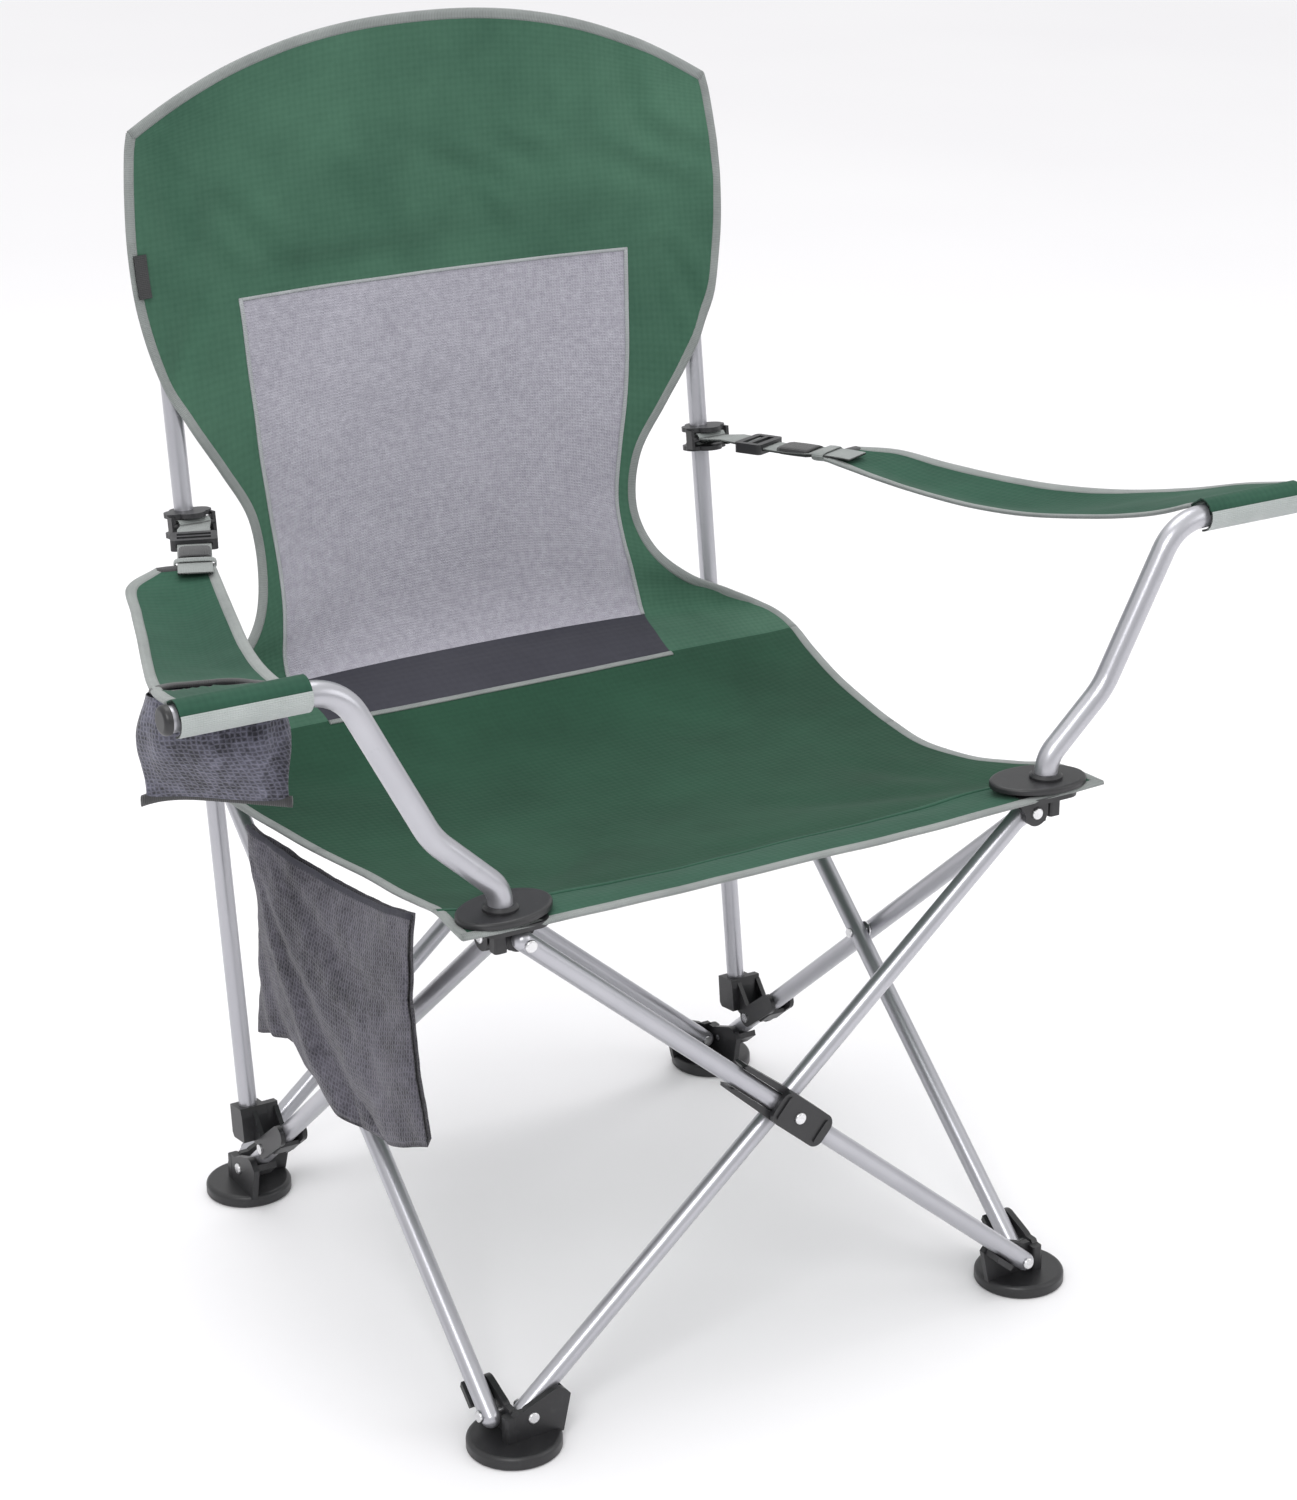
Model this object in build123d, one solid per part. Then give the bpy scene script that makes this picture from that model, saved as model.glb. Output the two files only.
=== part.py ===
from build123d import *
import os
from math import acos, asin, atan2, cos, degrees, hypot, radians, sin

# Folding camp chair. Millimetres, +Z up, the chair faces -Y, +X is to the right seen from the front.
# While it is modelled, X and Y count from the middle of the four feet; the last step moves the
# whole chair so that the middle of its outer box stands on the origin.
# Four scissor faces, front, right, rear and left, stand round a square. Each face has one outer
# tube and one inner tube, and every corner takes one of each, so the frame repeats every quarter turn.

# ---- scissor frame ----
PIVOT_SPAN = 472.0        # between the two foot pivots of a face
LEG_LENGTH = 622.0        # pivot to pivot along a leg tube
FOOT_PIVOT_Z = 28.0
FACE_GAP = 0.5            # from a pivot, across to the nearest tube of the next face
TUBE_R = 8.0
TUBE_WALL = 1.2
TUBE_TAIL = 3.5           # from a pivot to the centre of the tube's rounded end
CROSS_GAP = 2.0           # between two tubes that cross
FOLD_TRAVEL = 41.0        # degrees that each leg tube turns from open to folded

# ---- rivets and clearances ----
RIVET_R = 2.95
RIVET_HOLE_R = 3.0
RIVET_FIT = 0.02          # round a rivet in plastic
RIVET_HEAD_R = 5.0
RIVET_HEAD = 2.0
CLEAR = 0.35              # between faces that slide or rest on one another

# ---- feet, hubs and sliders ----
PUCK_R = 38.0
PUCK_H = 11.0
PUCK_INSET = 10.0         # puck centre, outside the pivots
CHEEK = 5.5               # wall that carries a rivet
CHEEK_GAP = 1.5           # between that wall and its tube
LUG_R = 11.0
LIP = 5.0                 # thickness of the stop under a tube
LIP_RUN = (12.0, 33.0)    # where the stop starts and ends along the tube
ROOF_GAP = 1.2            # above the highest point of a leg tube
ROOF = 5.0
ROOF_IN = 20.0            # reach of a hub's roof inside the pivots
ROOF_OUT = 36.0           # and outside them
FABRIC = 2.4

# ---- cross bracket ----
BRACKET_WALL = 4.0
BRACKET_SIDE = 6.0
BRACKET_BODY = (-33.0, 26.0)
BRACKET_PRONG = 72.0

# ---- seat plates, arm tubes ----
PLATE_SIZE = (82.0, 56.0)
PLATE = 5.0
PLATE_COLLAR = 4.0
SPIGOT = 12.0             # hub's spigot inside the arm tube
SCREW_R = 2.0
SCREW_REACH = (28.0, -12.0)
ARM_R = 9.5
ARM_WALL = 1.6
ARM_OUT = (14.0, 15.0)    # the tube's foot, outside the pivots
ARM_BENDS = ((0.0, 24.0), (54.0, 74.0), (122.0, 202.0))      # outside that foot, above the hub's roof
ARM_REACH = 250.0         # from that foot to the tip of the bar
ARM_BAR_RISE = 2.0
ARM_BEND_R = (26.0, 70.0, 42.0)

# ---- back posts ----
POST_BEHIND = 23.0        # post axis behind the rear pivots, at the height of the top pivots
SHOE_AT = 60.0            # shoe pin, up the side tube from its foot pivot
SHOE_OFFSET = 22.0        # post axis behind that pin
POST_START = 8.0          # post's lower end above the pin
POST_TOP = 474.0          # above the seat cloth
SLOT_AT = 25.3            # middle of the post's slot, behind the rear pivots
SLOT_PLAY = 4.6           # half the slot beyond the tube: the post tilts and moves in it during a fold
SHOE_HEIGHT = 36.0
SHOE_WALL = 4.2
SHOE_PRONG = 46.0
SHOE_JOIN = 19.0          # how far behind its pin the shoe is as wide as its rivet walls
CAP_WALL = 1.6

# ---- fabric ----
BACK_OUT = 25.5           # back's edge outside the post axis
BACK_CORNER = 492.0       # heights above the seat cloth
BACK_PEAK = 566.0
BACK_EDGE = ((0.0, 419.0), (5.0, 339.0), (19.0, 287.0), (49.0, 239.0), (73.0, 189.0), (91.0, 129.0),
             (86.0, 69.0), (65.0, 27.0), (37.0, 5.0))         # inside the widest half, above the seat cloth
BACK_SAG = ((10.0, -22.5), (31.0, 2.8), (79.0, 14.7), (149.0, 14.8), (209.0, 9.2))    # height, behind posts
BACK_HELD = (269.0, 349.0, 449.0)                     # heights where it lies against the posts
SEAT_FRONT_OUT = 36.0     # front hem outside the pivots
SEAT_HINGE_IN = 21.0      # lines where the two seat halves bend away from the frame, inside the pivots
SEAT_EDGE = ((55.0, -1.153), (49.0, -0.911), (36.0, -0.551), (32.0, -0.254), (43.0, 0.085), (60.0, 0.508),
             (70.0, 0.805), (56.0, 1.017))                    # outside the pivots, share of the way to them
SEAT_SAG = 41.0
SEAT_SLOPE = 0.2          # radians, where each half leaves the frame
SEAT_DROPS = (((0.767, 0.25), (0.442, 0.72)), ((0.814, 0.2), (0.535, 0.72)))   # front, rear: reach, sag
MESH_TOP = 348.0          # heights above the seat cloth
MESH_WAIST = 189.0
MESH_LOW = 17.0
MESH_HALF = (189.0, 179.0)      # half-widths of the mesh at its top and from its waist down
STRIP_HALF = (178.9, 171.0)     # and of the grey strip under it
STRIP_LOW = -11.0
SLEEVE = (257.0, 483.0)

# ---- arm rests ----
COLLAR_UP = 167.0         # above the seat cloth
COLLAR_HALF = 8.5         # from its middle to the middle of a flange
FLANGE = 4.0
STRAP_PIN_R = 2.6
COLLAR_LUG = 18.0         # strap pin in front of the post axis
STRAP_WIDTH = 28.0
STRAP = 2.4
REST_UNDER = 3.3          # arm rest's rear edge below its strap
STRAP_RUN = (62.5, 118.0, 8.0)      # its end: outside the post, inside the pivots, above the collar
BUCKLE_AT = 0.34          # share of the strap's length
BUCKLE_TRAVEL = (-14.0, 26.0)
CUP_FROM_BAR = (213.0, 59.0)        # outside the arm tube's foot, behind the bar
CUP_R = 44.0
CUP_HOLE_R = 37.0
CUP_TOP = 15.2            # above the bar
CUP_DEPTH = 116.0

# ---- side pocket ----
POCKET_OUT = 56.5         # outside the pivots
POCKET_IN = (31.0, 148.0)           # its front and rear ends, inside the pivots
POCKET_TOP = (19.0, 31.0)           # under the seat cloth: front, rear
POCKET_LOW = (189.0, 215.0)
POCKET_GAP = 9.0
POCKET_WALL = 1.5

# ---- worked out from the values above ----
P = PIVOT_SPAN / 2
SLOT_HALF = TUBE_R + SLOT_PLAY
THETA = asin(PIVOT_SPAN / LEG_LENGTH)               # a leg's lean from upright, open
RISE = LEG_LENGTH * cos(THETA)
TOP_PIVOT_Z = FOOT_PIVOT_Z + RISE
FACE = P + 2 * TUBE_R + CROSS_GAP / 2 + FACE_GAP    # middle plane of a face
LAYER = TUBE_R + CROSS_GAP / 2                      # tube axis from its face's middle plane
ROOF_Z = TOP_PIVOT_Z + TUBE_TAIL + TUBE_R + ROOF_GAP
CLOTH_Z = ROOF_Z + ROOF + CLEAR
PLATE_Z = CLOTH_Z + FABRIC + CLEAR
ARM_FOOT_Z = ROOF_Z + ROOF
ARM_BAR_Z = ARM_FOOT_Z + ARM_BENDS[-1][1]
ARM_BASE = (P + ARM_OUT[0], -P - ARM_OUT[1])
ARM_TIP_X = ARM_BASE[0] + ARM_REACH
POST_X = P + TUBE_TAIL + 2 * TUBE_R                 # just outside the rear tubes' ends
POST_TOP_Z = CLOTH_Z + POST_TOP
BACK_HALF = POST_X + BACK_OUT
BACK_CORNER_Z = CLOTH_Z + BACK_CORNER
BACK_PEAK_Z = CLOTH_Z + BACK_PEAK
SEAT_FRONT_Y = -P - SEAT_FRONT_OUT
SEAT_HINGE_Y = P - SEAT_HINGE_IN
COLLAR_Z = CLOTH_Z + COLLAR_UP
STRAP_END = (POST_X + STRAP_RUN[0], P - STRAP_RUN[1], COLLAR_Z + STRAP_RUN[2])
CUP_AT = (ARM_BASE[0] + CUP_FROM_BAR[0], ARM_BASE[1] + CUP_FROM_BAR[1])
CUP_TOP_Z = ARM_BAR_Z + CUP_TOP
POCKET_X = -P - POCKET_OUT
POCKET_Y = (-P + POCKET_IN[0], P - POCKET_IN[1])
POCKET_TOP_Z = (CLOTH_Z - POCKET_TOP[0], CLOTH_Z - POCKET_TOP[1])
POCKET_LOW_Z = (CLOTH_Z - POCKET_LOW[0], CLOTH_Z - POCKET_LOW[1])
PIN = (P - SHOE_AT * sin(THETA), FOOT_PIVOT_Z + SHOE_AT * cos(THETA))   # y, z of the shoe pin
POST_FOOT = (P + POST_BEHIND, TOP_PIVOT_Z)


def post_lean(theta):
    """The post's lean from upright, in radians, when the legs lean by theta."""
    back = POST_BEHIND + SHOE_AT * sin(theta)
    up = (LEG_LENGTH - SHOE_AT) * cos(theta)
    return atan2(back, up) - asin(SHOE_OFFSET / hypot(back, up))


LEAN = post_lean(THETA)
POST_DIR = (0, sin(LEAN), cos(LEAN))


def post_y(z):
    """The post axis's y at height z."""
    return POST_FOOT[0] + (z - POST_FOOT[1]) * sin(LEAN) / cos(LEAN)


COLLAR_Y = post_y(COLLAR_Z)
SLEEVE_R = TUBE_R + CAP_WALL + CLEAR
STRAP_PIN = (COLLAR_Y - COLLAR_LUG * cos(LEAN), COLLAR_Z + COLLAR_LUG * sin(LEAN))
STRAP_SLANT = (STRAP_END[0] - POST_X) / (STRAP_PIN[0] - STRAP_END[1])   # sideways run per run forwards


# ---- helpers ----
ON_BASE = (Align.CENTER, Align.CENTER, Align.MIN)


def turned(shape, quarter):
    return Rot(0, 0, 90 * quarter) * shape


def mirrored(shape):
    return mirror(shape, about=Plane.YZ)


def rod(a, b, r):
    a, b = Vector(*a), Vector(*b)
    return Plane(origin=a, z_dir=b - a) * Cylinder(r, (b - a).length, align=ON_BASE)


def flat(points):
    """A filled outline with straight sides."""
    return make_face(Polyline(*points, close=True))


def stadium(a, b, r):
    """A round-ended outline between two points."""
    span = hypot(b[0] - a[0], b[1] - a[1])
    turn = degrees(atan2(b[1] - a[1], b[0] - a[0]))
    middle = Pos((a[0] + b[0]) / 2, (a[1] + b[1]) / 2) * Rot(0, 0, turn)
    return middle * SlotCenterToCenter(span, 2 * r)


def upright(sketch, n0, n1):
    """A plate in the front face's plane: the sketch's x and y are X and Z, n counts outwards."""
    return extrude(Plane.XZ.offset(n0) * sketch, amount=n1 - n0, dir=(0, -1, 0))


def sideways(sketch, x0, x1):
    """A plate seen from the side: the sketch's x and y are Y and Z."""
    return extrude(Plane.YZ.offset(x0) * sketch, amount=x1 - x0, dir=(1, 0, 0))


def along(pivot, side, up, forward, across):
    """A point beside a leg tube: forward along it from a pivot, across to its lower side."""
    return (
        pivot[0] - side * (forward * sin(THETA) + across * cos(THETA)),
        pivot[1] + up * forward * cos(THETA) - across * sin(THETA),
    )


# ---- leg tubes and their rivets, all in the front face ----
def leg_tube(outer):
    side = 1 if outer else -1
    n = FACE + LAYER * side
    low, high = (side * P, -n, FOOT_PIVOT_Z), (-side * P, -n, TOP_PIVOT_Z)
    reach = (TUBE_TAIL * sin(THETA) * side, TUBE_TAIL * cos(THETA))
    a = (low[0] + reach[0], -n, low[2] - reach[1])
    b = (high[0] - reach[0], -n, high[2] + reach[1])
    bore_r = TUBE_R - TUBE_WALL
    tube = rod(a, b, TUBE_R) + Pos(*a) * Sphere(TUBE_R) + Pos(*b) * Sphere(TUBE_R)
    tube -= rod(a, b, bore_r) + Pos(*a) * Sphere(bore_r) + Pos(*b) * Sphere(bore_r)
    middle = (0, -n, (FOOT_PIVOT_Z + TOP_PIVOT_Z) / 2)
    for x, y, z in (low, middle, high):
        tube -= rod((x, y - 2 * TUBE_R, z), (x, y + 2 * TUBE_R, z), RIVET_HOLE_R)
    return tube


def rivet(u, w, n_tail, n_head, tail_head=True):
    """A rivet across the front face at x = u, z = w, with its domed head outermost."""
    body = rod((u, -n_tail, w), (u, -n_head, w), RIVET_R)
    head = upright(Pos(u, w) * Circle(RIVET_HEAD_R), n_head, n_head + RIVET_HEAD)
    body += fillet(head.edges().sort_by(Axis.Y)[0], RIVET_HEAD * 0.7)
    if tail_head:
        body += upright(Pos(u, w) * Circle(RIVET_HEAD_R - 0.8), n_tail - RIVET_HEAD * 0.8, n_tail)
    return body


def cheek_span(outer):
    """Where a rivet wall starts and ends, counted outwards from the chair's middle."""
    edge = FACE - LAYER + TUBE_R + CHEEK_GAP
    inner = FACE + LAYER - TUBE_R - CHEEK_GAP
    return (inner - CHEEK, inner) if outer else (edge, edge + CHEEK)


def corner_rivet(side, top):
    outer = (side > 0) != top
    start, end = cheek_span(outer)
    z = TOP_PIVOT_Z if top else FOOT_PIVOT_Z
    if outer:
        return rivet(side * P, z, start, FACE + LAYER + TUBE_R + CLEAR, tail_head=False)
    return rivet(side * P, z, FACE - LAYER - TUBE_R - CLEAR, end)


def rivet_bore(side, top):
    z = TOP_PIVOT_Z if top else FOOT_PIVOT_Z
    return upright(Pos(side * P, z) * Circle(RIVET_R + RIVET_FIT), FACE - 2 * LAYER, FACE + 2 * LAYER)


def cross_pin(bracket):
    """The rivet where a face's two tubes cross, with the washer between them."""
    z = (FOOT_PIVOT_Z + TOP_PIVOT_Z) / 2
    head = FACE + LAYER + TUBE_R + CLEAR + (BRACKET_WALL if bracket else 0)
    pin = rivet(0, z, FACE - LAYER - TUBE_R - CLEAR, head)
    washer = upright(Pos(0, z) * (Circle(TUBE_R - 1) - Circle(RIVET_HOLE_R)), FACE - 0.5, FACE + 0.5)
    return Compound(children=[pin, washer])


# ---- cross bracket on the outer front tube ----
def cross_bracket():
    z = (FOOT_PIVOT_Z + TOP_PIVOT_Z) / 2
    lean = Pos(0, z) * Rot(0, 0, 90 + degrees(THETA))     # local x runs up the outer tube
    inner, outer = TUBE_R + CLEAR, TUBE_R + CLEAR + BRACKET_SIDE
    start, end = FACE + CLEAR, FACE + LAYER + TUBE_R + CLEAR
    low, high = BRACKET_BODY
    middle = (low + high) / 2
    outline = RectangleRounded(high - low, 2 * outer, 9)
    body = upright(lean * Pos(middle, 0) * outline, start, end + BRACKET_WALL)
    for side in (-1, 1):
        prong = flat([
            (high - 12, side * inner), (BRACKET_PRONG - 5, side * inner),
            (BRACKET_PRONG, side * (inner + 1.5)),
            (BRACKET_PRONG - 2, side * (outer - 2)), (high + 14, side * (outer - 1)),
            (high - 12, side * outer),
        ])
        body += upright(lean * prong, start, end - 2)
    ends = 2 * BRACKET_PRONG
    body -= upright(lean * Rectangle(2 * ends, 2 * inner), 0, end)
    body -= upright(Pos(0, z) * Circle(RIVET_R + RIVET_FIT), end - 1, end + BRACKET_WALL + 1)
    # two ribs stiffen the front wall on either side of the rivet
    for x in (low + 7, high - 7):
        rib = lean * Pos(x, 0) * RectangleRounded(4, 2 * outer - 8, 1.9)
        body += upright(rib, end + BRACKET_WALL, end + BRACKET_WALL + 1.5)
    return body


# ---- feet ----
def foot_side(side):
    """The rivet wall and tube stop that a foot has in one face."""
    outer = side > 0
    n0, n1 = cheek_span(outer)
    pivot = (side * P, FOOT_PIVOT_Z)
    far = along(pivot, side, 1, LIP_RUN[1] - LUG_R, TUBE_R)
    base = PUCK_H - 3
    wall = stadium(pivot, far, LUG_R)
    wall += flat([
        (side * (P + LUG_R), base), (side * (P + LUG_R), FOOT_PIVOT_Z),
        along(pivot, side, 1, LIP_RUN[1], TUBE_R),
        along(pivot, side, 1, LIP_RUN[1], TUBE_R + LIP + CLEAR), (side * (P - LUG_R - 16), base),
    ])
    wall += flat([
        (side * P, base), (side * P, FOOT_PIVOT_Z + LUG_R - 3), (side * (P + 15), FOOT_PIVOT_Z + LUG_R - 3),
        (side * (FACE + 6), FOOT_PIVOT_Z - 4), (side * (FACE + 6), base),
    ])
    body = upright(wall, n0, n1)
    gap = TUBE_R + CLEAR
    lip = flat([
        along(pivot, side, 1, LIP_RUN[0], gap), along(pivot, side, 1, LIP_RUN[1], gap),
        along(pivot, side, 1, LIP_RUN[1] - 2, gap + LIP), along(pivot, side, 1, LIP_RUN[0], gap + LIP),
    ])
    if outer:
        body += upright(lip, n0, FACE + LAYER + TUBE_R)
    else:
        body += upright(lip, FACE - LAYER - TUBE_R, n1)
    return body - rivet_bore(side, False)


def foot():
    """The foot of the front right corner: outer tube in the front face, inner tube in the right one."""
    centre = P + PUCK_INSET
    puck = Cylinder(PUCK_R, PUCK_H, align=ON_BASE)
    puck = fillet(puck.edges().group_by(Axis.Z)[-1], 4)
    puck = chamfer(puck.edges().group_by(Axis.Z)[0], 1.2)
    body = Pos(centre, -centre, 0) * puck
    low, high = P + 14.0, FACE + CHEEK_GAP / 2 + CHEEK
    height = FOOT_PIVOT_Z + 5 - (PUCK_H - 3)
    column = Box(high - low, high - low, height, align=(Align.MIN, Align.MAX, Align.MIN))
    body += Pos(low, -low, PUCK_H - 3) * fillet(column.edges().filter_by(Axis.Z), 2.5)
    return body + foot_side(1) + turned(foot_side(-1), 1)


# ---- hubs and sliders ----
def top_side(side, reach_out):
    """The rivet wall that hangs from a roof in one face."""
    outer = side < 0
    n0, n1 = cheek_span(outer)
    pivot = (side * P, TOP_PIVOT_Z)
    wall = stadium(pivot, (side * P, ROOF_Z + ROOF / 2 - LUG_R), LUG_R)
    wall += flat([
        (side * (P - 20), ROOF_Z + 1), (side * (P - 8), TOP_PIVOT_Z - 4), (side * P, TOP_PIVOT_Z - LUG_R),
        (side * (P + reach_out), TOP_PIVOT_Z - LUG_R + 3), (side * (P + reach_out), ROOF_Z + 1),
    ])
    return upright(wall, n0, n1) - rivet_bore(side, True)


def roof(extra_out=0.0):
    size = ROOF_IN + ROOF_OUT + extra_out
    middle = P + (ROOF_OUT + extra_out - ROOF_IN) / 2
    return Pos(middle, -middle, ROOF_Z) * extrude(RectangleRounded(size, size, 13), amount=ROOF)


def screw_places(side):
    """Two seat plate screws at a front corner, outside and inside the two leg tubes."""
    return [(side * (P + reach), -(P + reach)) for reach in SCREW_REACH]


def front_hub(side):
    """A front hub, side -1 or 1: the two rivet walls follow the frame, the rest mirrors the other hub."""
    turn = FRONT_TURN[side]
    body = turned(roof(), turn) + turned(top_side(1, LUG_R - 2), turn)
    body += turned(top_side(-1, LUG_R - 2), (turn + 1) % 4)
    low, high = P + LUG_R + 2, FACE + CHEEK_GAP / 2 + CHEEK
    column = Box(high - low, high - low, ROOF_Z - TOP_PIVOT_Z + 7, align=(Align.MIN, Align.MAX, Align.MAX))
    body += turned(Pos(low, -low, ROOF_Z + 1) * fillet(column.edges().filter_by(Axis.Z), 2.5), turn)
    x, y = side * ARM_BASE[0], ARM_BASE[1]
    spigot_r = ARM_R - ARM_WALL - 0.1
    body += Pos(x, y, ARM_FOOT_Z) * Cylinder(spigot_r, SPIGOT, align=ON_BASE)
    for x, y in screw_places(side):
        body -= rod((x, y, 0), (x, y, ROOF_Z + 2 * ROOF), SCREW_R)
    return body


def hub_fasteners(side):
    """Both leg rivets of a front hub and the two screws that clamp its seat plate."""
    turn = FRONT_TURN[side]
    parts = [turned(corner_rivet(1, True), turn), turned(corner_rivet(-1, True), (turn + 1) % 4)]
    for x, y in screw_places(side):
        screw = rod((x, y, ROOF_Z), (x, y, PLATE_Z + PLATE - 1), SCREW_R)
        head = Pos(x, y, ROOF_Z - 1.0) * Cylinder(3.6, 1.0, align=ON_BASE)
        parts.append(screw + head)
    return Compound(children=parts)


def seat_plate():
    """Oval plate that clamps the seat fabric on the front left hub, with the arm tube's collar."""
    length, width = PLATE_SIZE
    x, y = -ARM_BASE[0], ARM_BASE[1]
    middle = (x + 5, y + 4)
    plate = extrude(Rot(0, 0, 12) * Ellipse(length / 2, width / 2), amount=PLATE)
    plate = Pos(*middle, PLATE_Z) * fillet(plate.edges().group_by(Axis.Z)[-1], 2.5)
    collar = extrude(Circle(ARM_R + 4), amount=PLATE + PLATE_COLLAR)
    plate += Pos(x, y, PLATE_Z) * chamfer(collar.edges().group_by(Axis.Z)[-1], 2)
    plate -= rod((x, y, 0), (x, y, PLATE_Z + 60), ARM_R + 0.1)
    for px, py in screw_places(-1):
        plate -= rod((px, py, 0), (px, py, PLATE_Z + PLATE - 1), SCREW_R)
    return plate


def post_slot(height0, height1):
    """The room that a post needs inside its slider, over the whole fold."""
    half_x = TUBE_R + CLEAR
    slot = RectangleRounded(2 * half_x, 2 * SLOT_HALF, half_x - 0.01)
    return Pos(POST_X, P + SLOT_AT, height0) * extrude(slot, amount=height1 - height0)


def slider(side):
    """A rear slider, side -1 or 1: the rivet walls follow the frame, the post's housing is mirrored."""
    turn = REAR_TURN[side]
    reach = TUBE_TAIL + TUBE_R - 1
    body = turned(top_side(1, reach), turn) + turned(top_side(-1, reach), (turn + 1) % 4)
    wall = SHOE_WALL + 1.0
    start, x1, y1 = P + LUG_R + 1.5, POST_X + TUBE_R + CLEAR + wall, P + SLOT_AT + SLOT_HALF + wall
    align = (Align.MIN if side > 0 else Align.MAX, Align.MIN, Align.MAX)
    block = Box(x1 - start, y1 - start, ROOF_Z - TOP_PIVOT_Z + 15, align=align)
    body += Pos(side * start, start, ROOF_Z + 1) * fillet(block.edges().filter_by(Axis.Z), 4)
    inner = P - ROOF_IN
    top = Box(x1 - inner, y1 - inner, ROOF, align=(align[0], Align.MIN, Align.MIN))
    body += Pos(side * inner, inner, ROOF_Z) * fillet(top.edges().filter_by(Axis.Z), 8)
    slot = post_slot(0, ROOF_Z + 4 * ROOF)
    return body - (slot if side > 0 else mirrored(slot))


# ---- back posts ----
def post_frame(side, tube_x):
    """Points on a post: its lower end, its top, and the shoe pin on the side tube."""
    x = side * POST_X
    foot_at = Vector(x, *PIN) + Vector(0, SHOE_OFFSET * cos(LEAN), -SHOE_OFFSET * sin(LEAN))
    foot_at += Vector(*POST_DIR) * POST_START
    return foot_at, Vector(x, post_y(POST_TOP_Z), POST_TOP_Z), Vector(tube_x, *PIN)


def back_post(side, tube_x):
    start, top, _ = post_frame(side, tube_x)
    return rod(start, top, TUBE_R) - rod(start, top, TUBE_R - TUBE_WALL)


def post_cap(side, tube_x):
    _, top, _ = post_frame(side, tube_x)
    cap = Cylinder(TUBE_R + CAP_WALL, 22, align=(Align.CENTER, Align.CENTER, Align.MAX))
    cap = fillet(cap.edges().group_by(Axis.Z)[-1], 4)
    cap = Plane(origin=top + Vector(*POST_DIR) * 3, z_dir=POST_DIR) * cap
    return cap - rod(top - Vector(*POST_DIR) * 40, top, TUBE_R)


def post_shoe(side, tube_x):
    """The shoe: a socket for the post, two walls beside the side tube and a web under it."""
    start, _, pin = post_frame(side, tube_x)
    gap = TUBE_R + CLEAR
    reach = TUBE_R + SHOE_WALL
    lean = Pos(*PIN) * Rot(0, 0, -degrees(LEAN))          # local y runs up the post, x backwards
    back = SHOE_OFFSET + TUBE_R + SHOE_WALL
    socket = flat([
        (TUBE_R + 1.5, POST_START - 3), (back - 3, POST_START - 3), (back, POST_START + 1),
        (back - 1, SHOE_HEIGHT),
        (TUBE_R + 3, SHOE_HEIGHT), (TUBE_R + 1.5, SHOE_HEIGHT - 8),
    ])
    body = sideways(lean * socket, side * POST_X - reach, side * POST_X + reach)
    body = fillet(body.edges().filter_by(Axis.X), 1.2)
    prong = along(PIN, 1, 1, SHOE_PRONG, 2)
    side_wall = stadium(PIN, prong, LUG_R - 2) + lean * flat([
        (-4, -4), (SHOE_JOIN, POST_START - 2), (SHOE_JOIN, SHOE_HEIGHT - 2),
        (TUBE_R + 2, SHOE_HEIGHT - 4), (-6, 7),
    ])
    for x in (tube_x - gap - SHOE_WALL, tube_x + gap):
        body += sideways(side_wall, x, x + SHOE_WALL)
    bridge = flat([
        (TUBE_R + 1.5, POST_START - 3), (SHOE_JOIN, POST_START - 3), (SHOE_JOIN, SHOE_HEIGHT),
        (TUBE_R + 3, SHOE_HEIGHT),
    ])
    body += sideways(lean * bridge, tube_x - gap - SHOE_WALL, tube_x + gap + SHOE_WALL)
    web = flat([
        along(PIN, 1, 1, 16, gap), along(PIN, 1, 1, SHOE_PRONG - 6, gap),
        along(PIN, 1, 1, SHOE_PRONG - 8, gap + 3.2), along(PIN, 1, 1, 18, gap + 3.2),
    ])
    body += sideways(web, tube_x - gap - 1, tube_x + gap + 1)
    top = start + Vector(*POST_DIR) * SHOE_HEIGHT * 2
    body -= rod(start, top, TUBE_R)
    return body - rod(pin - Vector(30, 0, 0), pin + Vector(30, 0, 0), RIVET_R + RIVET_FIT)


def shoe_rivet(side, tube_x):
    _, _, pin = post_frame(side, tube_x)
    reach = TUBE_R + CLEAR + SHOE_WALL
    body = rod(pin - Vector(reach, 0, 0), pin + Vector(reach, 0, 0), RIVET_R)
    for end in (-1, 1):
        head = sideways(Pos(pin.Y, pin.Z) * Circle(RIVET_HEAD_R - 0.5), 0, 1.6)
        body += Pos(pin.X + (reach if end > 0 else -reach - 1.6), 0, 0) * head
    return body


def shoe_hole(tube_x):
    return rod((tube_x - 20, *PIN), (tube_x + 20, *PIN), RIVET_HOLE_R)


# ---- arm tubes and collars ----
def arm_points():
    x, y = ARM_BASE
    points = [(x, y, ARM_FOOT_Z)]
    points += [(x + out, y, ARM_FOOT_Z + up) for out, up in ARM_BENDS]
    return points + [(ARM_TIP_X, y, ARM_BAR_Z + ARM_BAR_RISE)]


def arm_tube():
    path = FilletPolyline(*arm_points(), radius=list(ARM_BEND_R))
    section = Plane(origin=path @ 0, z_dir=path % 0) * (Circle(ARM_R) - Circle(ARM_R - ARM_WALL))
    return sweep(section, path=path)


def arm_cap():
    tip, before = Vector(*arm_points()[-1]), Vector(*arm_points()[-2])
    plane = Plane(origin=tip, z_dir=tip - before)
    cap = Cylinder(ARM_R + 1.2, 6, align=ON_BASE)
    cap = fillet(cap.edges().group_by(Axis.Z)[-1], 3.5)
    plug = Cylinder(ARM_R - ARM_WALL, 12, align=(Align.CENTER, Align.CENTER, Align.MAX))
    return plane * (cap + plug)


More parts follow.
